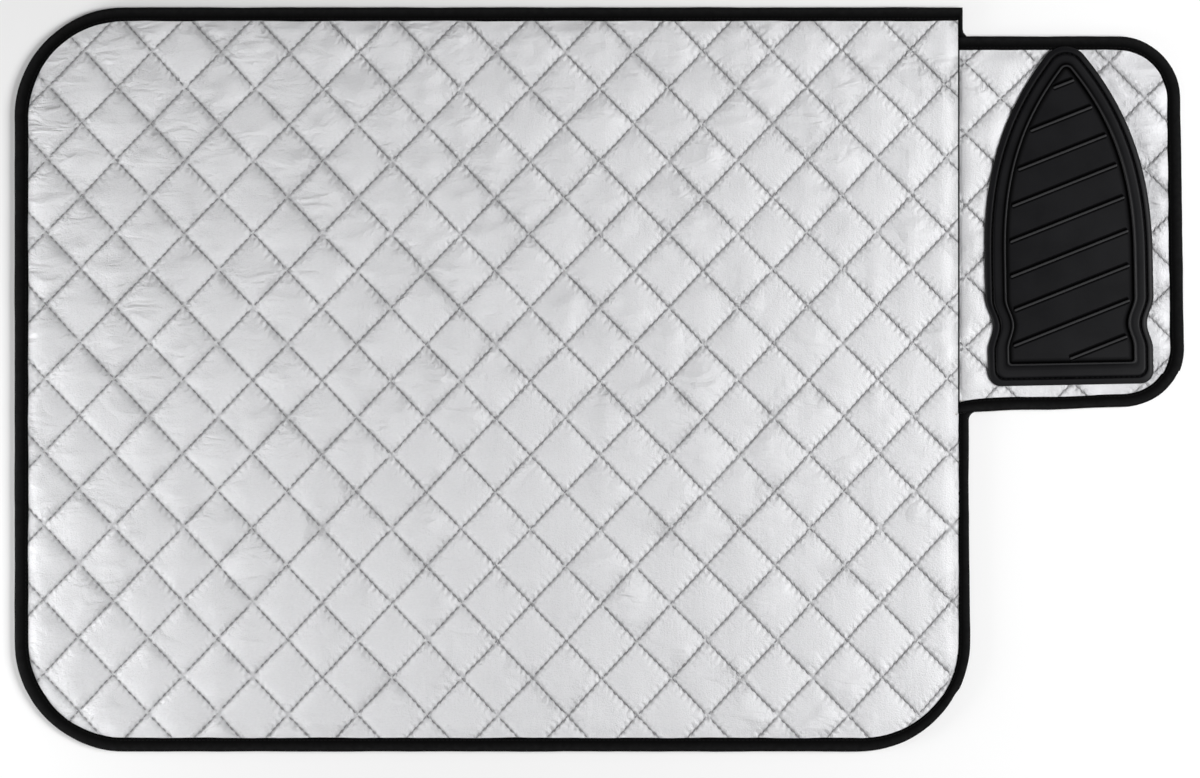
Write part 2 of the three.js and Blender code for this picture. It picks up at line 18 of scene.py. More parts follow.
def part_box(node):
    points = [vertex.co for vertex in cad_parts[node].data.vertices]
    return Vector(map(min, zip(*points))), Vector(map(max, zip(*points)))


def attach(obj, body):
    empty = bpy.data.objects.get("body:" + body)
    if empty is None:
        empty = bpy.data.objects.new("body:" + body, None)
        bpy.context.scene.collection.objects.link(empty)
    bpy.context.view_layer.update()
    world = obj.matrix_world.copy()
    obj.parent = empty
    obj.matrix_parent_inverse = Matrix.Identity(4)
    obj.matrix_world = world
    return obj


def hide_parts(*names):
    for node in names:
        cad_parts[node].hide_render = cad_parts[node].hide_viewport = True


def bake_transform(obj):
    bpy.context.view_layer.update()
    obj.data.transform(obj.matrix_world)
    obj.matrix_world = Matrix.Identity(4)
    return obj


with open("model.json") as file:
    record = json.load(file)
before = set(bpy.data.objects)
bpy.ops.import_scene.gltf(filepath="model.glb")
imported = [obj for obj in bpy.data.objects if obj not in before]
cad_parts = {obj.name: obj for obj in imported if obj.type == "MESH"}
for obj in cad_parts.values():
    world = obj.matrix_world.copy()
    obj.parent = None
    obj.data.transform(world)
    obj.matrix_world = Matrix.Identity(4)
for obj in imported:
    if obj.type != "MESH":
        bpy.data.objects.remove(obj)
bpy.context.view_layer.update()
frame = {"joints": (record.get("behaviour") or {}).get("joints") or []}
scene = bpy.context.scene

# %% [markdown]
# ## Places
# Sizes are in metres, so a millimetre gets a short name. The edges of the two panels come from their
# tapes in the CAD, and the fold line of the wing comes from its hinge.

# %% Edges and levels
MM = 0.001
main_low, main_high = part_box("main_binding")
wing_low, wing_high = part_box("wing_binding")
LEFT, BOTTOM = main_low.x, main_low.y
RIGHT, TOP = main_high.x, main_high.y
WING_RIGHT, WING_BOTTOM, WING_TOP = wing_high.x, wing_low.y, wing_high.y
fold = Vector(frame["joints"][0]["pos_m"])
SEAM_X, STITCH_LEVEL = fold.x, fold.z
TAPE_TOP = main_high.z
COVER_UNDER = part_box("main_cover")[0].z
REST_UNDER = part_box("iron_rest")[0].z
MAIN_CORNER = 76 * MM
WING_CORNER = 43 * MM
TAPE_WIDTH = 9.7 * MM
RIGHT_TAPE_WIDTH = RIGHT - SEAM_X
print("main", LEFT, RIGHT, BOTTOM, TOP, "wing", SEAM_X, WING_RIGHT, WING_BOTTOM, WING_TOP)

# %% [markdown]
# ## Camera
# The photograph looks straight down. A long lens from far above keeps the edges parallel, as there.
# The picture is 1200 by 778 pixels, and one pixel covers 0.69 mm of the pad.

# %% Camera
PICTURE_WIDTH = 1200
PIXEL = 0.69 * MM
LENS, SENSOR = 100, 36
VIEW_MIDDLE = (1.0 * MM, -6.6 * MM)
camera_data = bpy.data.cameras.new("top_camera")
camera_data.lens, camera_data.sensor_width = LENS, SENSOR
camera = bpy.data.objects.new("top_camera", camera_data)
camera.location = (*VIEW_MIDDLE, TAPE_TOP + PICTURE_WIDTH * PIXEL * LENS / SENSOR)
scene.collection.objects.link(camera)
scene.camera = camera
print("camera height", round(camera.location.z, 3))

# %% [markdown]
# ## Finishes
# A finish is a small tree of shader nodes. What a node gives can be added and multiplied like a number,
# and each such sum becomes a node too, so a finish below reads as a short recipe.

# %% Sums in a tree of nodes
class Value:
    """What one node of a material or a world gives to the next."""

    def __init__(self, owner, socket):
        self.owner, self.socket = owner, socket

    def do(self, operation, *others):
        return add_node(self.owner, "Math", dict(enumerate((self, *others))), operation=operation)

    def __add__(self, other):
        return self.do("ADD", other)

    def __sub__(self, other):
        return self.do("SUBTRACT", other)

    def __mul__(self, other):
        return self.do("MULTIPLY", other)


def set_socket(owner, socket, value):
    """Links a value to a socket, or writes a plain number or colour on it."""
    if isinstance(value, Value):
        owner.node_tree.links.new(value.socket, socket)
    else:
        socket.default_value = value


def add_node(owner, kind, sockets=None, give=0, **options):
    node = owner.node_tree.nodes.new("ShaderNode" + kind)
    for option, value in options.items():
        setattr(node, option, value)
    for key, value in (sockets or {}).items():
        set_socket(owner, node.inputs[key], value)
    return Value(owner, node.outputs[give])


def dress(material, **sockets):
    """Sets the named sockets of a material's shader."""
    shader = material.node_tree.nodes["Principled BSDF"]
    for name, value in sockets.items():
        set_socket(material, shader.inputs[name.replace("_", " ").title().replace("Ior", "IOR")], value)


def new_finish(name, **sockets):
    """A material, and the place on the piece from which its patterns are worked out."""
    material = bpy.data.materials.new(name)
    material.use_nodes = True
    dress(material, **sockets)
    return material, add_node(material, "TexCoord", give="Object")


print("helpers", add_node.__name__, dress.__name__, new_finish.__name__)

# %% Noise, weave and tones
NOISE_RANGE = (0.25, 0.75)  # most of the noise lies between these


def grain(place, stretch, detail=3.0, roughness=0.55, distortion=0.0):
    """Noise from 0 to 1 whose features are about 1/stretch metres long along each axis."""
    scaled = add_node(place.owner, "VectorMath", {0: place, 1: stretch}, operation="MULTIPLY")
    return add_node(place.owner, "TexNoise", {"Vector": scaled, "Scale": 1.0, "Detail": detail,
                                              "Roughness": roughness, "Distortion": distortion})


def mapped(value, start, end, low, high, **options):
    """Stretches what goes from start to end into what goes from low to high."""
    return add_node(value.owner, "MapRange", {"Value": value, "From Min": start, "From Max": end,
                                              "To Min": low, "To Max": high}, **options)


def spread(noise, low, high):
    return mapped(noise, *NOISE_RANGE, low, high)


def tones(noise, dark, light):
    """A colour between two tones."""
    colour = add_node(noise.owner, "ValToRGB", {"Fac": noise})
    stops = colour.socket.node.color_ramp.elements
    for stop, tone, position in zip(stops, (dark, light), NOISE_RANGE):
        stop.color, stop.position = (*tone, 1), position
    return colour


def mixed(share, first, second, blend="MIX"):
    """A share of a second, plain colour over a first."""
    return add_node(share.owner, "MixRGB", {"Fac": share, "Color1": first, "Color2": (*second, 1)},
                    blend_type=blend)


def coordinate(place, axis):
    return add_node(place.owner, "SeparateXYZ", {0: place}, give=axis)


def plain_weave(place, pitch):
    """Over-and-under bumps of two sets of threads, from -1 to 1."""
    across, along = ((coordinate(place, axis) * (2 * math.pi / pitch)).do("SINE") for axis in "XY")
    return across * along


def painted(material, name):
    """A number that the mesh carries at each of its points."""
    return add_node(material, "Attribute", give="Fac", attribute_name=name)


def embossed(height_mm):
    """A surface that is bumped by a height in millimetres."""
    return add_node(height_mm.owner, "Bump", {"Height": height_mm, "Strength": 1.0, "Distance": MM})


print("noise between", NOISE_RANGE)

# %% [markdown]
# ### Silver cloth
# The cover is cotton with a thin silver coating: pale, a little blue, soft in its shine. It needs the threads,
# faint slack creases, and small puckers that each stitch pulls into the cloth beside it. Painted shade darkens
# the crease along each line of stitches, and a painted highlight makes the coat paler beside the seams. The
# mesh carries two numbers, rising and falling, that count stitch lines, so the puckers and the painted light
# follow the sewing however the cloth lies. A third is 0 on the panel and grows on the wing: painted shade that
# makes the wing's coat a little darker, and more slack.

# %% Puckers beside the stitches
STITCHES_PER_SIDE = 7.25  # along one side of a diamond
SIDE_MM = 34.9  # length of that side, and the distance between stitch lines
CREASE_SHADE_MM = 1.4  # reach of the painted shade in the crease along a line of stitches
TUCK_FALL, CHANNEL_FALL, BESIDE_FALL = (0.5, 1.7), 0.65, (0.35, 1.2)  # how fast each fades, per millimetre


def pucker(across, along):
    """Beside one family of stitch lines: tucks at each stitch, the painted shade of the crease, the channel
    that the thread lies in, and how much the cloth crumples."""
    distance = (across - across.do("ROUND")).do("ABSOLUTE") * SIDE_MM
    fall = lambda rate: (distance * -rate).do("EXPONENT")
    hump = lambda slow, fast: fall(slow) - fall(fast)  # none on the line, most a little beside it
    wave = (along * (2 * math.pi * STITCHES_PER_SIDE)).do("COSINE")
    wide = distance * (1 / CREASE_SHADE_MM)
    crease = (wide * wide * -1.0).do("EXPONENT") * (wave * -0.3 + 0.7)  # painted shade, lighter between stitches
    channel = fall(CHANNEL_FALL) * -1.0 + 1.0
    return wave * hump(*TUCK_FALL), crease, channel, hump(*BESIDE_FALL)


print("pitch of the stitches", round(SIDE_MM / STITCHES_PER_SIDE, 2), "mm")

# %% Small relief of the cloth
TUCK_MM, CHANNEL_MM, CRUMPLE_MM, WRINKLE_MM = 0.75, 0.9, 4.0, 4.0
CRINKLE_MM, FOLD_MM, STREAK_MM, THREAD_MM = 0.5, 2.2, 0.25, 0.012
THREAD_PITCH = 0.5 * MM


def slackness(place, wing_shade_and_slack):
    """Where the cloth lies loose and wrinkles, from 0 to 1: in patches, most towards the upper left and
    on the wing."""
    patches = spread(grain(place, (22, 26, 22), detail=2), -0.9, 1.0)
    corner = mapped(coordinate(place, "Y") - coordinate(place, "X"), -0.3, 0.6, -0.25, 0.65)
    return add_node(place.owner, "Clamp", {"Value": wing_shade_and_slack * 0.5 + (patches + corner)})


def silver_height(place, wing_shade_and_slack, tucks, channels, beside):
    """Height of the cloth's small relief in millimetres."""
    slack = slackness(place, wing_shade_and_slack)
    crumple = grain(place, (560, 520, 540), detail=4, roughness=0.72) * (beside * (slack * 1.1 + 0.75))
    wrinkles = grain(place, (34, 95, 60), detail=2.2, roughness=0.48, distortion=0.8) * slack
    crinkle = grain(place, (950, 1050, 950), detail=3, roughness=0.6)
    folds = grain(place, (34, 26, 30), detail=1.5, distortion=0.4)
    streaks = grain(place, (330, 45, 200), detail=2)
    uneven = spread(grain(place, (45, 45, 45), detail=2), 0.3, 1.6)
    seams = tucks * uneven * TUCK_MM + crinkle * CRINKLE_MM + channels * CHANNEL_MM + crumple * CRUMPLE_MM
    return (seams + wrinkles * WRINKLE_MM + folds * FOLD_MM + streaks * STREAK_MM
            + plain_weave(place, THREAD_PITCH) * THREAD_MM)


print("threads in a centimetre", round(10 * MM / THREAD_PITCH))

# %% Silver cloth finish
SEAM_HIGHLIGHT = 1.2  # painted highlight: the coat is made paler beside the seams than on the crowns
CREASE_SHADE, WING_CREASE_SHADE = 0.35, 0.12  # share of the crease's painted shade tone, and how much more the wing has
# painted shade: the tone of the shade in a crease, and the multiplier that darkens the wing's coat
CREASE_SHADE_TONE, WING_SHADE_TONE = (0.26, 0.26, 0.27), (0.95, 0.95, 0.955)


def silver_finish():
    material, place = new_finish("silver_cloth", metallic=0.12, specular_ior_level=0.3)
    rising, falling, wing_shade_and_slack = (painted(material, name) for name in ("rising", "falling", "wing_shade_and_slack"))
    tuck_a, crease_shade_a, channel_a, beside_a = pucker(rising, falling)
    tuck_b, crease_shade_b, channel_b, beside_b = pucker(falling, rising)
    beside = beside_a.do("MAXIMUM", beside_b)
    height = silver_height(place, wing_shade_and_slack, tuck_a + tuck_b, channel_a * channel_b, beside)
    cloud = grain(place, (9, 9, 9), detail=5)
    slubs = grain(place, (420, 1000, 500), detail=2)
    silver = tones(cloud * 0.45 + slubs * 0.55, (0.692, 0.694, 0.709), (0.772, 0.774, 0.789))
    # painted highlight beside the seams
    highlighted = mixed(beside, silver, (SEAM_HIGHLIGHT, SEAM_HIGHLIGHT, SEAM_HIGHLIGHT), "MULTIPLY")
    lighter_at_crossings = crease_shade_a * crease_shade_b * -0.6 + 1.0  # less painted crease shade where lines cross, where the cloth puffs up a little
    crease_shade_mask = crease_shade_a.do("MAXIMUM", crease_shade_b) * lighter_at_crossings
    # painted shade in the creases beside the stitch lines, stronger on the wing
    crease_shaded = mixed(crease_shade_mask * (wing_shade_and_slack * WING_CREASE_SHADE + CREASE_SHADE), highlighted, CREASE_SHADE_TONE)
    # painted shade: the wing's coat made a little darker
    dress(material, base_color=mixed(wing_shade_and_slack, crease_shaded, WING_SHADE_TONE, "MULTIPLY"),
          roughness=spread(cloud, 0.52, 0.66), normal=embossed(height))
    return material


silver_cloth = silver_finish()
print("finish", silver_cloth.name)

# %% [markdown]
# ### Tape, silicone and threads
# The tape is matt black cotton, a little greyer along its fold: wear there, and a painted sheen. The rest is
# satin black silicone with a fine moulded grain, and the threads show the twist of their plies. The ribs and
# the bead of the rest are painted paler on top, as highlight with some wear, and their feet are painted
# darkest, as shade. The meshes say where with a number, from -1 in the hollows to 1 on the crests.

# %% Black tape, silicone and threads
def tape_finish():
    material, place = new_finish("binding_tape", sheen_weight=0.02, sheen_roughness=0.5,
                                 specular_ior_level=0.04)
    threads = plain_weave(place, 0.7 * MM)
    wear = grain(place, (60, 60, 60), detail=5)
    nap = grain(place, (240, 240, 240), detail=3)
    black = tones(threads * 0.12 + wear, (0.0003, 0.0003, 0.0004), (0.0015, 0.0015, 0.0016))
    # paler along the fold: wear, and a painted sheen
    wear_and_highlight = painted(material, "wear_and_painted_light") * spread(nap, 0.45, 1.15)
    dress(material, base_color=mixed(wear_and_highlight, black, (0.0108, 0.0108, 0.0111)),
          roughness=spread(wear, 0.72, 0.92), normal=embossed(threads * 0.05 + wear * 0.25))
    return material


def silicone_finish():
    material, place = new_finish("silicone", specular_ior_level=0.1)
    speckle = grain(place, (2400, 2400, 2400), detail=2)
    haze = grain(place, (45, 45, 45), detail=5)
    wear_and_painted_light = painted(material, "wear_and_painted_light")
    # painted shade in the hollows
    hollow_shade = (wear_and_painted_light * -1.0).do("MAXIMUM", 0.0)
    black = tones(haze, (0.0032, 0.0032, 0.0040), (0.0058, 0.0058, 0.0069))
    # painted highlight, with some wear, on the crests
    wear_and_highlight = mixed(wear_and_painted_light.do("MAXIMUM", 0.0), black, (0.034, 0.034, 0.035))
    dress(material, base_color=mixed(hollow_shade, wear_and_highlight, (0.0004, 0.0004, 0.0004)),
          specular_ior_level=hollow_shade * -0.09 + 0.1,
          roughness=spread(haze, 0.42, 0.55), normal=embossed(speckle * 0.02))
    return material


def thread_finish(name, dark, light, shine):
    material, place = new_finish(name, specular_ior_level=shine, sheen_weight=shine / 3)
    twist = add_node(material, "TexWave", {"Vector": place, "Scale": 900.0, "Distortion": 1.0}, give="Fac",
                     wave_type="BANDS", bands_direction="DIAGONAL")
    shade = grain(place, (70, 70, 70), detail=2)
    dress(material, base_color=tones(twist * 0.4 + shade * 0.6, dark, light),
          roughness=spread(shade, 0.6, 0.8), normal=embossed(twist * 0.06))
    return material


binding_tape = tape_finish()
silicone = silicone_finish()
grey_thread = thread_finish("grey_thread", (0.255, 0.255, 0.260), (0.385, 0.385, 0.392), 0.3)
black_thread = thread_finish("black_thread", (0.0015, 0.0015, 0.0015), (0.005, 0.005, 0.005), 0.06)
print("finishes", binding_tape.name, silicone.name, grey_thread.name, black_thread.name)

# %% [markdown]
# ### Layers inside and below
# Nobody sees the felt and the heat film until the pad is cut open, yet they get their own finishes.
# The backing is plain pale cotton. It shows when the wing is folded over.

# %% Felt, film and backing
def felt_finish():
    material, place = new_finish("felt", sheen_weight=0.3)
    fibres = grain(place, (700, 250, 500), detail=6, distortion=2)
    dress(material, base_color=tones(fibres, (0.70, 0.68, 0.64), (0.86, 0.84, 0.80)),
          roughness=spread(fibres, 0.85, 1.0), normal=embossed(fibres * 0.3))
    return material


def film_finish():
    material, place = new_finish("heat_film", metallic=0.85)
    crinkle = grain(place, (220, 220, 220), detail=4, distortion=1)
    dress(material, base_color=tones(crinkle, (0.60, 0.61, 0.63), (0.74, 0.75, 0.77)),
          roughness=spread(crinkle, 0.25, 0.45), normal=embossed(crinkle * 0.2))
    return material


def backing_finish():
    material, place = new_finish("backing_cloth", sheen_weight=0.08, specular_ior_level=0.25)
    threads = plain_weave(place, 0.8 * MM)
    slubs = grain(place, (90, 900, 400), detail=3)
    folds = grain(place, (25, 40, 30), detail=3, distortion=1)
    dress(material, base_color=tones(threads * 0.15 + slubs, (0.55, 0.55, 0.54), (0.68, 0.68, 0.66)),
          roughness=spread(slubs, 0.8, 0.95), normal=embossed(threads * 0.05 + folds * 0.8))
    return material


felt = felt_finish()
heat_film = film_finish()
backing_cloth = backing_finish()
print("finishes", felt.name, heat_film.name, backing_cloth.name)

# %% [markdown]
# ## Quilting
# Two families of straight seams cross in diamonds. Counting along them gives every point of the cloth
# two numbers: whole numbers lie on a stitch line. The panel and the wing were cut from different parts
# of the quilted cloth, so each has its own crossing. The cloth was pulled a little out of square while
# it was sewn, so the lines of the panel bow by one or two millimetres.

# %% Diamonds
main_quilt = {"width": 48 * MM, "height": 50.7 * MM, "x": SEAM_X - 8.3 * MM, "y": TOP - 55.5 * MM, "pull": 1}
wing_quilt = {"width": 49.4 * MM, "height": 49.0 * MM, "x": SEAM_X + 4.4 * MM, "y": WING_TOP - 18.5 * MM,
              "pull": 0}
WANDER = 0.3 * MM
HALF_LENGTH = 325 * MM  # of the quilted part of the panel


def pull(x, y):
    """How far the lines were pulled out of square, in metres: bowed, fanned and twisted towards the edges."""
    u, v = (x - (LEFT + SEAM_X) / 2) / HALF_LENGTH, y / TOP
    across = -0.5 * u - 0.5 * v + 1.0 * u * u - 2.8 * u * v + 1.3 * v * v
    along = -0.3 * u + 0.8 * v + 2.4 * u * u + 1.1 * u * v - 2.4 * v * v
    return across * MM, along * MM


def wander(x, y):
    """A small unsteady sideways play of the needle."""
    across = np.sin(57 * x + 73 * y + 0.6) + 0.6 * np.sin(141 * x - 89 * y + 2.1)
    along = np.sin(61 * x - 43 * y + 1.7) + 0.6 * np.sin(99 * x + 137 * y + 0.3)
    return WANDER * across / 1.6, WANDER * along / 1.6


def quilt_points(quilt, rising, falling):
    x = quilt["x"] + (rising + falling) * quilt["width"] / 2
    y = quilt["y"] + (rising - falling) * quilt["height"] / 2
    pulled, wandering = pull(x, y), wander(x, y)
    x, y = (c + quilt["pull"] * p + w for c, p, w in zip((x, y), pulled, wandering))
    return np.stack([x, y], axis=-1)


def quilt_range(quilt, left, right, bottom, top):
    """Lowest and highest stitch lines of both families that can touch a rectangle."""
    x = (np.array([left, right, left, right]) - quilt["x"]) / quilt["width"]
    y = (np.array([bottom, bottom, top, top]) - quilt["y"]) / quilt["height"]
    counts = np.stack([x + y, x - y])
    return np.floor(counts.min(1)).astype(int) - 1, np.ceil(counts.max(1)).astype(int) + 1


print("diamond side", round(math.hypot(main_quilt["width"], main_quilt["height"]) / 2 / MM, 1), "mm")

# %% [markdown]
# The outlines are rectangles with round corners. One function says how far a point lies inside such a
# shape, which is all we need to cut cloth to it.

# %% Outlines
def inset_of(points, left, right, bottom, top, radius):
    x, y = points[..., 0], points[..., 1]
    side = np.minimum(x - left, right - x)
    end = np.minimum(y - bottom, top - y)
    in_corner = (side < radius) & (end < radius)
    return np.where(in_corner, radius - np.hypot(radius - side, radius - end), np.minimum(side, end))


def main_inset(points):
    """From the outside of the tape. The top right corner is square, because the wing's seam ends there."""
    square = (points[..., 0] > 0) & (points[..., 1] > 0)
    return inset_of(points, LEFT, RIGHT, BOTTOM, TOP, np.where(square, 0, MAIN_CORNER))


def wing_inset(points):
    square = points[..., 0] < SEAM_X + WING_CORNER
    far_left = SEAM_X - 100 * MM
    return inset_of(points, far_left, WING_RIGHT, WING_BOTTOM, WING_TOP, np.where(square, 0, WING_CORNER))


print("inset at the middle of the wing", round(float(wing_inset(np.array([SEAM_X + 0.07, 0.1]))), 4))

# %% [markdown]
# ### The outline of the iron rest
# It has the shape of an iron's sole: a straight base with small round corners, a waist above it, and two
# sides that close in to a round tip. The outline is needed now, because the rest presses the wing flat.

# %% Iron rest outline
REST_LENGTH, REST_WIDTH, REST_BASE = 233.6 * MM, 116 * MM, 114 * MM
WAIST_DEPTH, WAIST_HEIGHT, WAIST_SPREAD = 4.3 * MM, 42 * MM, 18 * MM
REST_CORNER, BEAD_CORNER = 9 * MM, 2.6 * MM
SIDE_START, SIDE_PULL, TIP_PULL = 88 * MM, 42.7 * MM, 61.5 * MM
TIP_ANGLE, TIP_RADIUS = math.radians(38.4), 17.2 * MM
BEAD_INSET = 12.6 * MM
REST_TILT = math.radians(1.1)
REST_MIDDLE = Vector(((SEAM_X + WING_RIGHT) / 2, WING_BOTTOM + 17.2 * MM))


def smooth_step(value):
    value = np.clip(value, 0, 1)
    return value * value * (3 - 2 * value)


def rest_half(inset):
    """Right half of the outline at an inset, from the middle of the base to the tip."""
    round_off = REST_CORNER + (BEAD_CORNER - REST_CORNER) * min(inset / BEAD_INSET, 1.3)
    half = REST_BASE / 2 - inset
    base = [(half * i / 12, inset) for i in range(9)]
    turn = np.linspace(-math.pi / 2, 0, 9)
    foot = [(half - round_off + round_off * math.cos(a), inset + round_off + round_off * math.sin(a))
            for a in turn]
    offset = np.linspace(-1, 1, 25)
    body = (REST_BASE + (REST_WIDTH - REST_BASE) * smooth_step((offset + 1) / 2)) / 2
    dip = WAIST_DEPTH * (1 + np.cos(math.pi * offset)) / 2
    waist = np.stack([body - dip - inset, WAIST_HEIGHT + offset * WAIST_SPREAD], axis=1)
    out = np.array([math.cos(TIP_ANGLE), math.sin(TIP_ANGLE)])
    tip = np.array([0, REST_LENGTH - TIP_RADIUS])
    a = np.array([REST_WIDTH / 2, SIDE_START])
    b, d = a + (0, SIDE_PULL), tip + out * TIP_RADIUS
    c = d + np.array([out[1], -out[0]]) * TIP_PULL
    t = np.linspace(0, 1, 40)[:-1, None]
    side = (1 - t) ** 3 * a + 3 * t * (1 - t) ** 2 * b + 3 * t ** 2 * (1 - t) * c + t ** 3 * d
    along = 3 * (1 - t) ** 2 * (b - a) + 6 * t * (1 - t) * (c - b) + 3 * t ** 2 * (d - c)
    along /= np.linalg.norm(along, axis=1, keepdims=True)
    side = side + inset * np.stack([-along[:, 1], along[:, 0]], axis=1)
    turn = np.linspace(TIP_ANGLE, math.pi / 2, 12)
    nose = tip + (TIP_RADIUS - inset) * np.stack([np.cos(turn), np.sin(turn)], axis=1)
    return np.concatenate([base, foot, waist, side, nose])


def rest_outline(inset):
    half = rest_half(inset)
    other = half[1:-1][::-1] * (-1, 1)
    return np.concatenate([half, other])


def place_on_wing(points):
    """From the rest's own axes to its place on the wing."""
    c, s = math.cos(REST_TILT), math.sin(REST_TILT)
    turned = points @ np.array([[c, s], [-s, c]])
    return turned + np.array(REST_MIDDLE)


def rest_distance(points):
    """How far a point lies outside the rest, negative inside."""
    outline = place_on_wing(rest_outline(0.0))
    a, b = outline, np.roll(outline, -1, axis=0)
    flat = points.reshape(-1, 2)
    nearest = np.full(len(flat), np.inf)
    inside = np.zeros(len(flat), bool)
    for p, q in zip(a, b):
        along = q - p
        t = np.clip((flat - p) @ along / (along @ along), 0, 1)
        nearest = np.minimum(nearest, np.linalg.norm(flat - p - t[:, None] * along, axis=1))
        crosses = (p[1] > flat[:, 1]) != (q[1] > flat[:, 1])
        at_x = p[0] + (flat[:, 1] - p[1]) * along[0] / (along[1] if along[1] else 1e-12)
        inside ^= crosses & (flat[:, 0] < at_x)
    return np.where(inside, -nearest, nearest).reshape(points.shape[:-1])


print("rest outline points", len(rest_outline(0.0)))

# %% [markdown]
# ## Quilted covers
# The cover and its batting are sewn together flat, and then the batting pushes the cloth up between the
# seams. That is what the cloth simulation does here: a flat net of squares follows the stitch lines, its
# stitched points are pinned, and a gentle pressure swells the rest. Cloth works best at the size of a
# tablecloth, so the net is blown up twenty times for it and brought back afterwards.

# %% Flat net
NET_STEPS = 9  # squares along one side of a diamond
CLOTH_MARGIN = 3 * MM  # from the outside of the tape to the raw edge of the cloth
WING_REACH = 6 * MM  # of the wing's net past the seam, before it is cut there
TURNED = [0, 3, 2, 1]  # corners of a square that faces the other way


def net_faces(number):
    """The squares between the points of a grid."""
    return np.stack([number[:-1, :-1], number[:-1, 1:], number[1:, 1:], number[1:, :-1]], axis=-1)


def flat_net(quilt, left, right, bottom, top, inset):
    low, high = quilt_range(quilt, left, right, bottom, top)
    i = np.arange(low[0] * NET_STEPS, high[0] * NET_STEPS + 1)
    j = np.arange(low[1] * NET_STEPS, high[1] * NET_STEPS + 1)
    rows, columns = np.meshgrid(i, j, indexing="ij")
    points = quilt_points(quilt, rows / NET_STEPS, columns / NET_STEPS)
    x, y = points[..., 0], points[..., 1]
    kept = (inset(points) > CLOTH_MARGIN) & (x > left) & (x < right) & (y > bottom) & (y < top)
    number = np.arange(rows.size).reshape(rows.shape)
    quads = net_faces(number)[net_faces(kept).all(axis=-1)]
    used = np.unique(quads)
    index = np.full(rows.size, -1)
    index[used] = np.arange(len(used))
    counts = np.stack([rows.ravel()[used], columns.ravel()[used]], axis=1)
    return points.reshape(-1, 2)[used], index[quads], counts


main_net = flat_net(main_quilt, LEFT, RIGHT, BOTTOM, TOP, main_inset)
wing_net = flat_net(wing_quilt, SEAM_X - WING_REACH, WING_RIGHT, WING_BOTTOM, WING_TOP, wing_inset)
print("main net", len(main_net[0]), "points, wing net", len(wing_net[0]), "points")

# %% Swell the net
BLOW_UP = 20
SIM_FRAMES = 26
CROWN_PERCENTILE, SWELL_LIMIT = 93, 1.4  # what counts as a crown, and the cap on higher ones
TAPE_FREE = 1 * MM  # width of cloth under the tape's inner edge that isn't held down
MAIN_PINNED_FROM, WING_PINNED_TO = SEAM_X + 2.5 * MM, SEAM_X + 1 * MM


def add_mesh(name, points, faces):
    mesh = bpy.data.meshes.new(name)
    mesh.from_pydata(np.asarray(points, float).tolist(), [], [list(f) for f in faces])
    mesh.update()
    piece = bpy.data.objects.new(name, mesh)
    scene.collection.objects.link(piece)
    return piece


def swollen(points, quads, pinned):
    """Heights of the cloth above its stitches, with the crowns near 1, and its sideways shift."""
    flat = np.column_stack([points, np.zeros(len(points))]) * BLOW_UP
    net = add_mesh("cloth_net", flat, quads)
    group = net.vertex_groups.new(name="stitched")
    group.add(np.flatnonzero(pinned).tolist(), 1.0, "REPLACE")
    cloth = net.modifiers.new("swell", "CLOTH")
    setting = cloth.settings
    setting.quality = 6
    setting.mass = 0.3
    setting.tension_stiffness = setting.compression_stiffness = 12
    setting.shear_stiffness = 6
    setting.bending_stiffness = 0.4
    setting.vertex_group_mass = "stitched"
    setting.use_pressure = True
    setting.uniform_pressure_force = 2.5
    setting.shrink_min = -0.012
    setting.effector_weights.gravity = 0
    cloth.collision_settings.use_collision = False
    cloth.point_cache.frame_start, cloth.point_cache.frame_end = 1, SIM_FRAMES
    for moment in range(1, SIM_FRAMES + 1):
        scene.frame_set(moment)
    shaped = net.evaluated_get(bpy.context.evaluated_depsgraph_get()).to_mesh()
    result = np.zeros(len(points) * 3, np.float32)
    shaped.vertices.foreach_get("co", result)
    result = result.reshape(-1, 3) / BLOW_UP
    bpy.data.objects.remove(net)
    scene.frame_set(1)
    crown = np.percentile(result[:, 2], CROWN_PERCENTILE)
    print("simulated crown", round(crown / MM, 2), "mm before it is set to height")
    return np.clip(result[:, 2] / crown, 0, SWELL_LIMIT), result[:, :2] - points


def swell_net(net, inset, past_seam):
    """Pins a net along its stitches, under the tape and past the seam, and swells the rest of it."""
    points, quads, counts = net
    on_line = (counts % NET_STEPS == 0).any(axis=1)
    under_tape = inset(points) < TAPE_WIDTH - TAPE_FREE
    return swollen(points, quads, on_line | under_tape | past_seam(points[:, 0]))


main_swell, main_shift = swell_net(main_net, main_inset, lambda x: x > MAIN_PINNED_FROM)
wing_swell, wing_shift = swell_net(wing_net, wing_inset, lambda x: x < WING_PINNED_TO)
print("swell", main_swell.max().round(2), wing_swell.max().round(2))

# %% [markdown]
# Batting is springy, so a quilted diamond is flatter on top and steeper beside its seams than a balloon.
# A power below one gives that. At the seam to the wing the cover rolls over and goes down into the seam,
# and under the iron rest it is pressed flat.

# %% Shape the covers
PILLOW_RISE = 2.9 * MM
PILLOW_POWER = 0.65
TAPE_SINK_RUN = 8 * MM  # over which the pillows sink towards the tape
ROLL_RUN, ROLL_DEPTH = 0.6 * MM, 0.12 * MM
WING_ROLL_RUN, WING_ROLL_DEPTH = 8 * MM, 3.2 * MM
EDGE_RUN, EDGE_RISE = 7 * MM, 0.9 * MM
REST_PRESS_RUN = 9 * MM
LINE_SHARPNESS = 0.75  # of the channel along a stitch line
WING_SHADE_FROM, WING_SHADE_RUN = 20 * MM, 80 * MM  # the painted shade of the wing's coat, and its extra slack, grow from here right of the seam, where only the wing reaches, over this run


def rolled(distance, run, depth):
    """How far a cover sinks at a distance from the seam."""
    t = np.clip(1 - distance / run, 0, 1)
    return depth * (0.5 * t * t + 0.5 * (1 - np.sqrt(1 - 0.98 * t ** 6)))


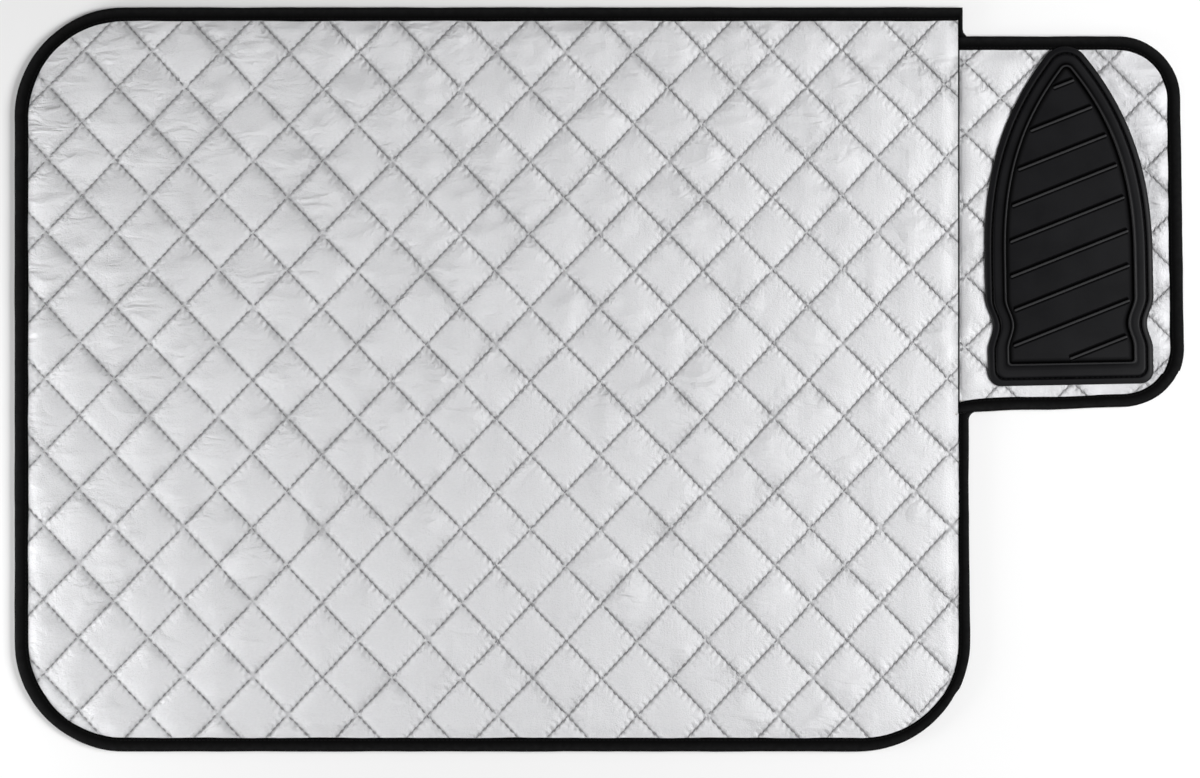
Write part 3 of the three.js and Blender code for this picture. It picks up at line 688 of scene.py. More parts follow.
def quilt_crease(mesh, counts):
    """Marks the edges along the stitch lines, so that subdivision keeps the channels."""
    pairs = np.array([e.vertices[:] for e in mesh.edges])
    same = (counts[pairs[:, 0]] == counts[pairs[:, 1]]) & (counts[pairs[:, 0]] % NET_STEPS == 0)
    crease = mesh.attributes.new("crease_edge", "FLOAT", "EDGE")
    crease.data.foreach_set("value", np.where(same.any(axis=1), LINE_SHARPNESS, 0.0).astype(np.float32))


def paint(piece, name, values):
    """Gives each point of a mesh a number, which its finish can read."""
    numbers = piece.data.attributes.new(name, "FLOAT", "POINT").data
    numbers.foreach_set("value", np.asarray(values, np.float32))


def smoothed_cover(name, net, swell, shift, inset):
    points, quads, counts = net
    beside_tape = smooth_step((inset(points) - TAPE_WIDTH + TAPE_FREE) / TAPE_SINK_RUN)
    height = STITCH_LEVEL + PILLOW_RISE * swell ** PILLOW_POWER * beside_tape
    cover = add_mesh(name, np.column_stack([points + shift, height]), quads)
    paint(cover, "rising", counts[:, 0] / NET_STEPS)
    paint(cover, "falling", counts[:, 1] / NET_STEPS)
    # painted shade that darkens the wing's coat towards its right, and adds slack
    paint(cover, "wing_shade_and_slack", smooth_step((points[:, 0] - SEAM_X - WING_SHADE_FROM) / WING_SHADE_RUN))
    quilt_crease(cover.data, counts)
    smooth = cover.modifiers.new("smooth", "SUBSURF")
    smooth.levels = smooth.render_levels = 1
    fine = bpy.data.meshes.new_from_object(cover.evaluated_get(bpy.context.evaluated_depsgraph_get()))
    cover.modifiers.clear()
    cover.data = fine
    return cover


main_cover = smoothed_cover("main_cover_quilt", main_net, main_swell, main_shift, main_inset)
wing_cover = smoothed_cover("wing_cover_quilt", wing_net, wing_swell, wing_shift, wing_inset)
print("covers", len(main_cover.data.polygons), len(wing_cover.data.polygons), "faces")

# %% [markdown]
# Now the covers are cut straight along the seam, rolled down there, pressed under the rest, and closed
# below, so each is a padded body with its batting inside.

# %% Cut, roll and close the covers
SEAM_HALF_GAP = 0.7 * MM
BEND_RUN = 14 * MM  # over which the wing bends when it is folded
TAPE_END_DROP = 2.4 * MM  # the wing's tape sags this far below its edge where it meets the panel
COVER_PLAY, REST_PLAY = 0.1 * MM, 0.2 * MM  # room below the covers, and between the cloth and the rest
ROLL_LIMIT = 0.6 * MM  # below its underside, as far as the panel's cover rolls down


def cut_at(body, place, normal, above=None):
    """Cuts away what lies beyond a plane, only above a height of Y if one is given."""
    everything = body.verts[:] + body.edges[:] + body.faces[:]
    if above is not None:
        bmesh.ops.bisect_plane(body, geom=everything, plane_co=(0, above, 0), plane_no=(0, 1, 0))
        faces = [f for f in body.faces if f.calc_center_median().y > above]
        edges = {e for f in faces for e in f.edges}
        everything = list({v for e in edges for v in e.verts}) + list(edges) + faces
    bmesh.ops.bisect_plane(body, geom=everything, plane_co=place, plane_no=normal, clear_outer=True)


def close_below(body, level):
    rim = [e for e in body.edges if e.is_boundary]
    for edge in rim:
        edge.smooth = False  # a cut edge is crisp
    made = bmesh.ops.extrude_edge_only(body, edges=rim)["geom"]
    for vertex in (g for g in made if isinstance(g, bmesh.types.BMVert)):
        vertex.co.z = level
    bottom = [g for g in made if isinstance(g, bmesh.types.BMEdge) and g.is_boundary]
    bmesh.ops.triangle_fill(body, edges=bottom, use_beauty=False, normal=(0, 0, -1))
    bmesh.ops.recalc_face_normals(body, faces=body.faces)


def coat(piece, material):
    piece.data.shade_smooth()
    piece.data.materials.append(material)


def finish_cover(cover, sign, above, lower):
    body = bmesh.new()
    body.from_mesh(cover.data)
    cut_at(body, (SEAM_X + sign * SEAM_HALF_GAP, 0, 0), (-sign, 0, 0), above)
    places = np.array([v.co for v in body.verts])
    for vertex, z in zip(body.verts, lower(places)):
        vertex.co.z = z
    close_below(body, COVER_UNDER + COVER_PLAY)
    body.to_mesh(cover.data)
    body.free()
    coat(cover, silver_cloth)


def lower_main(places):
    beside_wing = places[:, 1] > WING_BOTTOM - TAPE_END_DROP
    inside = SEAM_X - places[:, 0]
    raised = EDGE_RISE * np.clip(1 - inside / EDGE_RUN, 0, 1) ** 2 - rolled(inside, ROLL_RUN, ROLL_DEPTH)
    return np.maximum(places[:, 2] + raised * beside_wing, COVER_UNDER - ROLL_LIMIT)


def lower_wing(places):
    sunk = rolled(places[:, 0] - SEAM_X, WING_ROLL_RUN, WING_ROLL_DEPTH)
    pressed = REST_UNDER - REST_PLAY
    free = smooth_step(rest_distance(places[:, :2]) / REST_PRESS_RUN)
    height = np.maximum(places[:, 2] - sunk, COVER_UNDER)
    return np.minimum(height, pressed) + np.maximum(height - pressed, 0) * free


def hold(piece, body_name):
    """A piece of the panel rides on it. A piece of the wing is not attached to a body: its place is baked into
    its mesh."""
    if body_name == "wing":
        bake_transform(piece)
    else:
        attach(piece, body_name)


finish_cover(main_cover, -1, WING_BOTTOM - TAPE_END_DROP, lower_main)
finish_cover(wing_cover, 1, None, lower_wing)
for cover, body_name, node in ((main_cover, "main_panel", "main_cover"), (wing_cover, "wing", "wing_cover")):
    hold(cover, body_name)
    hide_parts(node)
print("closed covers", len(main_cover.data.polygons), len(wing_cover.data.polygons), "faces")

# %% [markdown]
# ## Quilting stitches
# Each stitch is a short piece of grey thread that comes up through one needle hole and goes down through
# the next. One little bent capsule is laid along the cloth thousands of times. A ray from above finds the
# height of the cloth under each stitch.

# %% Stitch shape
STITCH_SIDES = 6
STITCH_STEPS = np.array([-0.5, -0.42, -0.14, 0.14, 0.42, 0.5])
STITCH_FULLNESS = np.array([0, 0.75, 1, 1, 0.75, 0])


def stitch_faces():
    """Faces of one capsule: a point at each end and four rings between."""
    ring = lambda k, s: 1 + k * STITCH_SIDES + s % STITCH_SIDES
    last = 1 + 4 * STITCH_SIDES
    faces = [(0, ring(0, s + 1), ring(0, s)) for s in range(STITCH_SIDES)]
    faces += [(last, ring(3, s), ring(3, s + 1)) for s in range(STITCH_SIDES)]
    faces += [(ring(k, s), ring(k, s + 1), ring(k + 1, s + 1), ring(k + 1, s))
              for k in range(3) for s in range(STITCH_SIDES)]
    return faces


def lay_stitches(name, starts, ends, width, arch, material, normal=1):
    """A stitch from each start to each end, arched away from the cloth."""
    along = ends - starts
    length = np.linalg.norm(along, axis=1, keepdims=True)
    forward = along / length
    side = np.cross((0, 0, 1.0), forward)
    side /= np.linalg.norm(side, axis=1, keepdims=True)
    up = np.cross(forward, side) * normal
    turns = np.arange(STITCH_SIDES) * 2 * math.pi / STITCH_SIDES
    points = []
    for step, full in zip(STITCH_STEPS, STITCH_FULLNESS):
        centre = (starts + ends) / 2 + along * step + up * arch * (1 - 4 * step * step)
        if full == 0:
            points.append(centre[:, None])
        else:
            round_it = np.cos(turns)[:, None] * side[:, None] + np.sin(turns)[:, None] * up[:, None] * 0.8
            points.append(centre[:, None] + round_it * full * width / 2)
    points = np.concatenate(points, axis=1)
    base = np.arange(len(starts)) * points.shape[1]
    faces = [[v + b for v in f] for b in base.tolist() for f in stitch_faces()]
    thread = add_mesh(name, points.reshape(-1, 3), faces)
    coat(thread, material)
    return thread


print("faces in one stitch", len(stitch_faces()))

# %% Lay the quilting stitches
STITCH_WIDTH, STITCH_ARCH = 0.95 * MM, 0.3 * MM
STITCH_SHARE = 0.62  # of the pitch that the thread shows
STITCH_LIFT = 0.05 * MM
MIDDLE_PLAY, LENGTH_PLAY, ASIDE_PLAY, SLANT_PLAY = 0.05, 0.06, 0.003, 0.0015  # how unsteady the sewing is
SLANT = 0.0035  # the two threads pull each stitch a little across its line
CROSSING_MM, HIDDEN_SHARE = 1.7, 0.6  # so near a crossing, this share is hidden in the pucker
DIVE_DEPTH, DIVE_START, DIVE_RUN = 0.9 * MM, 0.5 * MM, 0.7 * MM  # of the last stitch, beside the tape
TAPE_CLEARANCE, SEAM_CLEARANCE = 0.6 * MM, 1.2 * MM  # the rows stop short of tape and seam
UNDER_REST = 2 * MM  # and reach this far under the rest
RAY_START = 50 * MM  # well above the pad
sewing = np.random.default_rng(7)


def heights_on(piece, points):
    corners = [v.co for v in piece.data.vertices]
    tree = BVHTree.FromPolygons(corners, [p.vertices[:] for p in piece.data.polygons])
    hits = [tree.ray_cast(Vector((x, y, RAY_START)), Vector((0, 0, -1)))[0] for x, y in points]
    return np.array([hit.z if hit else STITCH_LEVEL for hit in hits])


def quilt_stitches(quilt, left, right, bottom, top, family, wanted):
    """Flat starts and ends of one family's stitches."""
    low, high = quilt_range(quilt, left, right, bottom, top)
    lines = np.arange(low[family], high[family] + 1)
    steps = np.arange(int(low[1 - family] * STITCHES_PER_SIDE), int(high[1 - family] * STITCHES_PER_SIDE))
    line, step = (a.ravel() for a in np.meshgrid(lines, steps, indexing="ij"))
    middle = (step + 0.5 + sewing.normal(0, MIDDLE_PLAY, step.size)) / STITCHES_PER_SIDE
    half = STITCH_SHARE * (1 + sewing.normal(0, LENGTH_PLAY, step.size)) / STITCHES_PER_SIDE / 2
    aside = line + sewing.normal(0, ASIDE_PLAY, step.size)
    slant = SLANT + sewing.normal(0, SLANT_PLAY, step.size)
    order = (lambda a, b: (a, b)) if family == 0 else (lambda a, b: (b, a))
    start = quilt_points(quilt, *order(aside + slant, middle - half))
    end = quilt_points(quilt, *order(aside - slant, middle + half))
    to_crossing = np.abs(middle - np.round(middle)) * SIDE_MM
    sunk = (to_crossing < CROSSING_MM) & (sewing.random(step.size) < HIDDEN_SHARE)
    kept = wanted((start + end) / 2) & ~sunk
    return start[kept], end[kept]


def on_cloth(cover, inset, points):
    """The points at the height of the cloth. The last stitch of a row dives under the tape."""
    dive = DIVE_DEPTH * smooth_step((TAPE_WIDTH + DIVE_START - inset(points)) / DIVE_RUN)
    return np.column_stack([points, heights_on(cover, points) + STITCH_LIFT - dive])


def sew_quilt(name, cover, inset, stretches, body_name):
    start = on_cloth(cover, inset, np.concatenate([s for s, _ in stretches]))
    end = on_cloth(cover, inset, np.concatenate([e for _, e in stretches]))
    thread = lay_stitches(name, start, end, STITCH_WIDTH, STITCH_ARCH, grey_thread)
    hold(thread, body_name)
    print(name, len(start), "stitches")


def on_main(points):
    clear = points[:, 0] < SEAM_X - SEAM_CLEARANCE
    return (main_inset(points) > TAPE_WIDTH + TAPE_CLEARANCE) & clear


def on_wing(points):
    clear = (points[:, 0] > SEAM_X + SEAM_CLEARANCE) & (rest_distance(points) > -UNDER_REST)
    return (wing_inset(points) > TAPE_WIDTH + TAPE_CLEARANCE) & clear


main_area = (LEFT, RIGHT, BOTTOM, TOP)
wing_area = (SEAM_X, WING_RIGHT, WING_BOTTOM, WING_TOP)
for family, label in ((0, "rising"), (1, "falling")):
    rows = quilt_stitches(main_quilt, *main_area, family, on_main)
    sew_quilt("main_stitches_" + label, main_cover, main_inset, [rows], "main_panel")
wing_rows = [quilt_stitches(wing_quilt, *wing_area, family, on_wing) for family in (0, 1)]
sew_quilt("wing_stitches", wing_cover, wing_inset, wing_rows, "wing")

# %% [markdown]
# ## Binding tape
# A strip of black cotton is folded round the raw edge and sewn through. Its section is a soft U, thicker
# at the fold, and it is swept along the edge of each panel. The fold wavers a little, as sewn tape does.
# The path is drawn once for each point of the section, so corners keep their width.

# %% Paths and section of the tape
ARC_STEPS = 26
CORNER_END_WIDTH, CORNER_END_OVERHANG = 3.5 * MM, 2.8 * MM
END_GAP, LAST_RUN = 0.05 * MM, 6 * MM  # at the ends of the panel's tape
START_LAP = 0.1 * MM  # of the wing's tape past the seam
TAPE_THICKNESS = 0.75 * MM


def rounded_path(corners, counts):
    """Points along corners of (x, y, radius). counts gives the points of each straight."""
    points = []
    previous = np.array(corners[0][:2], float)
    for k in range(1, len(corners)):
        here = np.array(corners[k][:2], float)
        radius = corners[k][2]
        if radius and k < len(corners) - 1:
            back = np.array(corners[k - 1][:2], float) - here
            ahead = np.array(corners[k + 1][:2], float) - here
            back, ahead = back / np.linalg.norm(back), ahead / np.linalg.norm(ahead)
            start, end = here + back * radius, here + ahead * radius
            centre = here + (back + ahead) * radius
            turn = np.linspace(0, math.pi / 2, ARC_STEPS)[:, None]
            arc = centre - ahead * radius * np.cos(turn) - back * radius * np.sin(turn)
        else:
            start = end = here
            arc = here[None]
        straight = np.linspace(previous, start, counts[k - 1])[:-1]
        points += [straight, arc] if len(arc) == 1 else [straight, arc[:-1]]
        previous = end
        if len(arc) == 1 and k < len(corners) - 1:
            points[-1] = arc[:0]
    return np.concatenate(points)


def main_tape_path(inset):
    share = inset / TAPE_WIDTH
    end_x = SEAM_X + CORNER_END_OVERHANG - CORNER_END_WIDTH * share
    right_x = RIGHT - RIGHT_TAPE_WIDTH * share
    radius = MAIN_CORNER - inset
    end_y = WING_BOTTOM - TAPE_END_DROP
    corners = [(end_x, WING_TOP + END_GAP, 0), (end_x, TOP - inset, 0), (LEFT + inset, TOP - inset, radius),
               (LEFT + inset, BOTTOM + inset, radius), (right_x, BOTTOM + inset, radius),
               (right_x, end_y - LAST_RUN, 0), (right_x, end_y, 0)]
    return rounded_path(corners, (9, 130, 80, 130, 40, 16))


def wing_tape_path(inset):
    radius = WING_CORNER - inset
    start_x = SEAM_X - START_LAP
    corners = [(start_x, WING_BOTTOM + inset, 0), (WING_RIGHT - inset, WING_BOTTOM + inset, radius),
               (WING_RIGHT - inset, WING_TOP - inset, radius), (start_x, WING_TOP - inset, 0)]
    return rounded_path(corners, (60, 40, 60))


def tape_section():
    """Inset and height of the folded tape, round its edge and back inside."""
    width, top, thick = TAPE_WIDTH / MM, TAPE_TOP / MM, TAPE_THICKNESS / MM
    outer = [(width, 0.35), (width - 0.2, 0.05), (6, 0), (3.2, 0.02)]
    fold_turn = np.linspace(-math.pi / 2, math.pi / 2, 11)
    outer += [(2.2 * (1 - math.cos(a)), top / 2 * (1 + math.sin(a))) for a in fold_turn]
    outer += [(3.4, top - 0.02), (5, top - 0.08), (6.6, top - 0.18), (8, top - 0.3),
              (width - 0.25, top - 0.48), (width, top - 0.78), (width - 0.1, top - 1.05)]
    inner = [(7, top - thick - 0.2), (2.6, top - thick), (1.5, top / 2 + 0.8), (1.5, top / 2 - 0.8),
             (2.6, thick), (7, thick)]
    return [(inset * MM, height * MM) for inset, height in outer + inner]


print("main tape path", len(main_tape_path(0.0)), "points, section", len(tape_section()), "points")

# %% Sweep a section
WAVE_LENGTHS, WAVE_SHARES = (0.043, 0.071, 0.127, 0.019), (0.3, 0.35, 0.35, 0.15)


def waver(run, seed):
    """Slow sideways play of the tape along its run, from about -1 to 1."""
    phase = np.random.default_rng(seed).uniform(0, 6.28, 4)
    waves = [np.sin(2 * math.pi * run / w + p) for w, p in zip(WAVE_LENGTHS, phase)]
    return np.tensordot(WAVE_SHARES, np.array(waves), axes=1)


def face_outwards(piece):
    body = bmesh.new()
    body.from_mesh(piece.data)
    bmesh.ops.recalc_face_normals(body, faces=body.faces)
    body.to_mesh(piece.data)
    body.free()


def swept(name, rows, material):
    """A closed section with a row of places for each of its points, and flat ends."""
    count, length = rows.shape[:2]
    number = np.arange(count * length).reshape(count, length)
    faces = net_faces(np.vstack([number, number[:1]])).reshape(-1, 4).tolist()
    faces += [number[:, 0].tolist(), number[::-1, -1].tolist()]
    piece = add_mesh(name, rows.reshape(-1, 3), faces)
    face_outwards(piece)
    coat(piece, material)
    return piece


def run_of(path):
    return np.concatenate([[0], np.cumsum(np.linalg.norm(np.diff(path, axis=0), axis=1))])


print("waver", waver(np.array([0.0, 0.1]), 1).round(2))

# %% How the ends of the tapes bend
INNER_CORNER = 4.5 * MM  # radius where the wing meets the panel below
FLARE, FLARE_RUN = 2.8 * MM, 4.5 * MM  # of the panel's tape, at its upper end
LEAN, LEAN_FROM, LEAN_RUN = 1.1 * MM, 40 * MM, 150 * MM  # of the panel's lower right side
SAG_RUN = 45 * MM
SLACK, END_SLACK, SLACK_RUN = 0.7 * MM, 1.4 * MM, 14 * MM  # how much narrower the wing's lower tape looks
FAR_RISE, FAR_FROM, FAR_RUN, LOWER_BAND = 1.9 * MM, 60 * MM, 50 * MM, 25 * MM  # of the wing's lower edge
SIDE_OUT, SIDE_LEAN, SIDE_DEPTH = 0.8 * MM, 2.3 * MM, 160 * MM  # of the wing's right edge
SIDE_FROM, SIDE_RUN = 60 * MM, 40 * MM


def tape_sag(x):
    """How far the wing's lower tape hangs below its edge, most where it joins the panel."""
    return TAPE_END_DROP * np.clip(1 - (x - SEAM_X) / SAG_RUN, 0, 1) ** 1.6


def bend_main_ends(flat, share):
    """Flares the outer edge of the tape into the wing at both of its ends, and lets the lower right side
    lean out."""
    flat = flat.copy()
    right_side = flat[:, 0] > SEAM_X - 1 * MM
    upper = right_side & (flat[:, 1] > WING_TOP - 1 * MM)
    rise = np.clip(1 - (flat[:, 1] - WING_TOP) / FLARE_RUN, 0, 1)
    flat[:, 0] += upper * FLARE * rise ** 2 * (1 - share)
    lower = right_side & (flat[:, 1] < WING_BOTTOM)
    leaning = smooth_step((WING_BOTTOM - flat[:, 1] - LEAN_FROM) / LEAN_RUN)
    flat[:, 0] += lower * LEAN * leaning * (1 - share)
    fall = np.clip(1 - (WING_BOTTOM - TAPE_END_DROP - flat[:, 1]) / INNER_CORNER, 0, 1)
    flat[:, 0] += lower * INNER_CORNER * (1 - np.sqrt(1 - 0.98 * fall ** 2)) * (1 - share)
    flat[:, 1] += lower * (TAPE_END_DROP - tape_sag(flat[:, 0]) - END_GAP) * fall ** 3
    return flat


def bend_wing_end(flat, share):
    """Lets the lower tape sag where it joins the panel. The wing is a little narrower above than below."""
    flat = flat.copy()
    lower = flat[:, 1] < WING_BOTTOM + LOWER_BAND
    far = smooth_step((flat[:, 0] - SEAM_X - FAR_FROM) / FAR_RUN)
    slack = SLACK + END_SLACK * np.clip(1 - (flat[:, 0] - SEAM_X) / SLACK_RUN, 0, 1) ** 2
    flat[:, 1] += lower * (FAR_RISE * far - tape_sag(flat[:, 0]) - share * slack)
    outer = smooth_step((flat[:, 0] - WING_RIGHT + SIDE_FROM) / SIDE_RUN)
    leaning = (flat[:, 1] - WING_BOTTOM - SIDE_FROM) / SIDE_DEPTH
    flat[:, 0] += outer * (SIDE_OUT - SIDE_LEAN * leaning)
    return flat


print("sag of the wing's tape at the seam", round(float(tape_sag(SEAM_X)) / MM, 2), "mm")

# %% Sweep the tapes
EDGE_PLAY, FOLD_PLAY, LIFT_PLAY = 0.3 * MM, 0.18 * MM, 0.10 * MM
STEADY_RUN = 20 * MM  # at the ends, which meet other tapes and don't waver
SHEEN_AND_WEAR_AT = (0, 1.2, 2, 3, 4.5, 6.2, 7, 8, 9.2)  # insets in millimetres
SHEEN_AND_WEAR = (0.4, 0.6, 1, 0.8, 0.5, 0.1, 0, 0.05, 0.1)  # how pale the tape is made there: wear, and a painted sheen along the fold


def sweep_tape(name, path_at, bend, seed):
    outside = path_at(0.0)
    run = run_of(outside)
    steady = smooth_step(np.minimum(run, run[-1] - run) / STEADY_RUN)
    edge_play = EDGE_PLAY * waver(run, seed) * steady
    fold_play = FOLD_PLAY * waver(run, seed + 1) * steady
    lift = LIFT_PLAY * waver(run, seed + 2)
    rows = []
    for inset, z in tape_section():
        share = inset / TAPE_WIDTH
        inward = path_at(inset + 1e-4) - path_at(inset)
        inward /= np.linalg.norm(inward, axis=1, keepdims=True)
        flat = path_at(inset) + inward * (edge_play * share + fold_play * (1 - share))[:, None]
        height = z + lift * (z > TAPE_TOP / 2) * math.sin(math.pi * min(share, 1))
        rows.append(np.column_stack([bend(flat, share), height]))
    tape = swept(name, np.array(rows), binding_tape)
    # wear and painted sheen across the tape's section
    wear_and_highlight = np.interp([inset / MM for inset, z in tape_section()], SHEEN_AND_WEAR_AT, SHEEN_AND_WEAR)
    paint(tape, "wear_and_painted_light", np.repeat(wear_and_highlight, len(outside)))
    return tape


main_tape = sweep_tape("main_tape", main_tape_path, bend_main_ends, 11)
wing_tape = sweep_tape("wing_tape", wing_tape_path, bend_wing_end, 23)
for tape, path_at, body_name, node in ((main_tape, main_tape_path, "main_panel", "main_binding"),
                                       (wing_tape, wing_tape_path, "wing", "wing_binding")):
    hold(tape, body_name)
    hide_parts(node)
    length = float(run_of(path_at(TAPE_WIDTH / 2))[-1])
    main_cover if node[0] == "m" else wing_cover
    print(tape.name, round(length, 3), "m long")

# %% [markdown]
# A row of black stitches runs along the inner edge of the tape, through both of its sides.

# %% Tape stitches
TAPE_STITCH_PITCH, TAPE_STITCH_SHARE = 3.0 * MM, 0.72
TAPE_STITCH_INSET = TAPE_WIDTH - 1.6 * MM
TAPE_STITCH_WIDTH, TAPE_STITCH_ARCH, UNDER_ARCH, UNDER_LEVEL = 0.5 * MM, 0.16 * MM, 0.1 * MM, 0.14 * MM


def along_path(path, pitch, share):
    """Starts and ends of stitches at an even pitch along a path."""
    run = run_of(path)
    middles = np.arange(pitch, run[-1] - pitch, pitch)
    at = lambda s: np.column_stack([np.interp(s, run, path[:, 0]), np.interp(s, run, path[:, 1])])
    return at(middles - share * pitch / 2), at(middles + share * pitch / 2)


def sew_tape(name, tape, path_at, bend, body_name):
    path = bend(path_at(TAPE_STITCH_INSET), TAPE_STITCH_INSET / TAPE_WIDTH)
    start, end = along_path(path, TAPE_STITCH_PITCH, TAPE_STITCH_SHARE)
    upper = [np.column_stack([p, heights_on(tape, p)]) for p in (start, end)]
    lower = [np.column_stack([p, np.full(len(p), UNDER_LEVEL)]) for p in (start, end)]
    top = lay_stitches(name, *upper, TAPE_STITCH_WIDTH, TAPE_STITCH_ARCH, black_thread)
    under = lay_stitches(name + "_under", *lower, TAPE_STITCH_WIDTH, UNDER_ARCH, black_thread, normal=-1)
    for thread in (top, under):
        hold(thread, body_name)
    print(name, len(start), "stitches on each side")


sew_tape("main_tape_stitches", main_tape, main_tape_path, bend_main_ends, "main_panel")
sew_tape("wing_tape_stitches", wing_tape, wing_tape_path, bend_wing_end, "wing")

# %% [markdown]
# ## Layers under the covers
# Felt, heat film and backing are slabs cut to the same outline. Each is a net of squares with a top, a
# bottom and a wall. Near the tape they climb on to its lower side, as in the CAD, and the backing lies in
# slow waves, because nothing holds it to the layers above except the tape.

# %% Layer builder
LAYER_STEP = 6 * MM
EDGE_LIFT, LIFT_RUN = 1.1 * MM, 2 * MM
WAVE, WAVE_RUN = 0.25 * MM, 20 * MM


def layer_climb(inset):
    return EDGE_LIFT * (1 - smooth_step((inset - TAPE_WIDTH) / LIFT_RUN))


def slow_wave(points, inset):
    x, y = points[:, 0], points[:, 1]
    wave = np.sin(61 * x + 33 * y + 0.4) + np.sin(43 * x - 71 * y + 1.1) + np.sin(97 * x + 12 * y)
    return WAVE * (wave / 6 + 0.5) * smooth_step((inset - TAPE_WIDTH - LIFT_RUN) / WAVE_RUN)


def flat_layer(x, bottom, top, inset, sign, above):
    """A flat net cut to the panel, as a bmesh."""
    y = np.arange(bottom + CLOTH_MARGIN, top, LAYER_STEP)
    grid = np.stack(np.meshgrid(x, y, indexing="ij"), axis=-1)
    kept = inset(grid) > CLOTH_MARGIN * 0.9
    number = np.arange(kept.size).reshape(kept.shape)
    quads = net_faces(number)[net_faces(kept).all(axis=-1)][:, TURNED]
    body = bmesh.new()
    made = {k: body.verts.new((*grid.reshape(-1, 2)[k], 0)) for k in np.unique(quads).tolist()}
    for quad in quads.tolist():
        body.faces.new([made[k] for k in quad])
    cut_at(body, (SEAM_X + sign * SEAM_HALF_GAP, 0, 0), (-sign, 0, 0), above)
    return body


def thick_layer(name, body, low, high, material):
    """Turns a flat net into a closed slab between two height functions."""
    faces = [[v.index for v in f.verts] for f in body.faces]
    flat = np.array([v.co[:2] for v in body.verts])
    rim = [tuple(v.index for v in e.verts) for e in body.edges if e.is_boundary]
    count = len(flat)
    facing = {(a, b) for f in faces for a, b in zip(f, f[1:] + f[:1])}
    walls = [(a, b) if (a, b) in facing else (b, a) for a, b in rim]
    points = np.concatenate([np.column_stack([flat, high(flat)]), np.column_stack([flat, low(flat)])])
    shell = faces + [[v + count for v in reversed(f)] for f in faces]
    shell += [[b, a, a + count, b + count] for a, b in walls]
    slab = add_mesh(name, points, shell)
    coat(slab, material)
    return slab


print("layer net step", LAYER_STEP / MM, "mm")

# %% Felt, film and backing of both panels
BACKING_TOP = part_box("main_backing")[1].z - EDGE_LIFT
FILM_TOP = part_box("main_heat_film")[1].z - EDGE_LIFT
FELT_TOP = COVER_UNDER
TABLE_GAP, ABOVE_PLY, BELOW_PLY = 0.04 * MM, 0.01 * MM, 0.02 * MM  # room between the layers


def add_layers(prefix, body_name, inset, net):
    net.verts.index_update()
    flat_area = sum(f.calc_area() for f in net.faces)
    level = lambda z: lambda p: z + layer_climb(inset(p)) + slow_wave(p, inset(p))
    capped = lambda p: np.full(len(p), FELT_TOP)
    made = [
        ("_backing_cloth", TABLE_GAP, level(BACKING_TOP - BELOW_PLY), backing_cloth,
         "_backing", "backing_cloth"),
        ("_film_sheet", BACKING_TOP + ABOVE_PLY, level(FILM_TOP - BELOW_PLY), heat_film,
         "_heat_film", "heat_film"),
        ("_felt", FILM_TOP + ABOVE_PLY, capped, felt, "_wadding", "felt"),
    ]
    for name, low, high, material, node, slot in made:
        slab = thick_layer(prefix + name, net, level(low), high, material)
        hold(slab, body_name)
        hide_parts(prefix + node)
        node == "_wadding"
    net.free()
    print(prefix, "layers", round(flat_area, 4), "m2 each")


add_layers("main", "main_panel", main_inset,
           flat_layer(np.arange(LEFT + CLOTH_MARGIN, RIGHT, LAYER_STEP), BOTTOM, TOP, main_inset, -1,
                      WING_BOTTOM - TAPE_END_DROP))
BEND_STEP = 2 * MM  # closer columns, where the wing bends
bending = np.arange(SEAM_X - 2 * BEND_STEP, SEAM_X + BEND_RUN + BEND_STEP, BEND_STEP)
add_layers("wing", "wing", wing_inset,
           flat_layer(np.append(bending, np.arange(bending[-1] + LAYER_STEP, WING_RIGHT, LAYER_STEP)),
                      WING_BOTTOM, WING_TOP, wing_inset, 1, None))

# %% [markdown]
# ## Seam between the panels
# The wing's edge is folded and sewn in between the layers of the big panel. Two pieces show that: the folded
# allowance inside the panel, and the strip of cloth that crosses the fold line. The strip closes the gap
# between the two rolled edges.

# %% Seam allowance and seam strip
PLY = 0.7 * MM  # thickness of the folded cloth
ALLOWANCE_PLAY = 0.1 * MM
allow_low, allow_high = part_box("seam_allowance")


def swept_strip(name, section, front, back, steps, material, play=0.0):
    """A closed section in X and Z, swept along Y."""
    y = np.linspace(front, back, steps)
    sway = play * waver(y - front, 5)
    rows = [np.column_stack([np.full(steps, x) + sway, y, np.full(steps, z)]) for x, z in section]
    return swept(name, np.array(rows), material)


def folded_section(left, right, low, high):
    """Cloth folded back on itself: two plies and a round fold at the right."""
    middle, reach = (low + high) / 2, (high - low) / 2
    turn = np.linspace(-math.pi / 2, math.pi / 2, 7)
    arc = lambda radius: [(right - reach + radius * math.cos(a), middle + radius * math.sin(a)) for a in turn]
    return [(left, low)] + arc(reach) + [(left, high), (left, high - PLY)] + arc(reach - PLY)[::-1] + [
        (left, low + PLY)]


allowance_section = folded_section(allow_low.x, allow_high.x, allow_low.z + 0.35 * MM, allow_high.z - 0.1 * MM)
allowance = swept_strip("seam_fold", allowance_section, allow_low.y, allow_high.y, 90, silver_cloth,
                        ALLOWANCE_PLAY)
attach(allowance, "main_panel")
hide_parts("seam_allowance")

# %% Seam strip across the fold
STRIP_HALF, STRIP_MIDDLE, STRIP_RISE, STRIP_END = 2.2 * MM, 1.35 * MM, 0.95 * MM, 1.5 * MM


def seam_shade_finish():
    # painted shade: the strip is coloured nearly black, for the shade in the seam between the rolled edges
    material, place = new_finish("seam_shade_cloth", metallic=0.1, specular_ior_level=0.25)
    shade = grain(place, (80, 80, 80), detail=4)
    dress(material, base_color=tones(shade, (0.010, 0.010, 0.011), (0.020, 0.020, 0.021)),
          roughness=spread(shade, 0.6, 0.8), normal=embossed(plain_weave(place, 0.6 * MM) * 0.05))
    return material


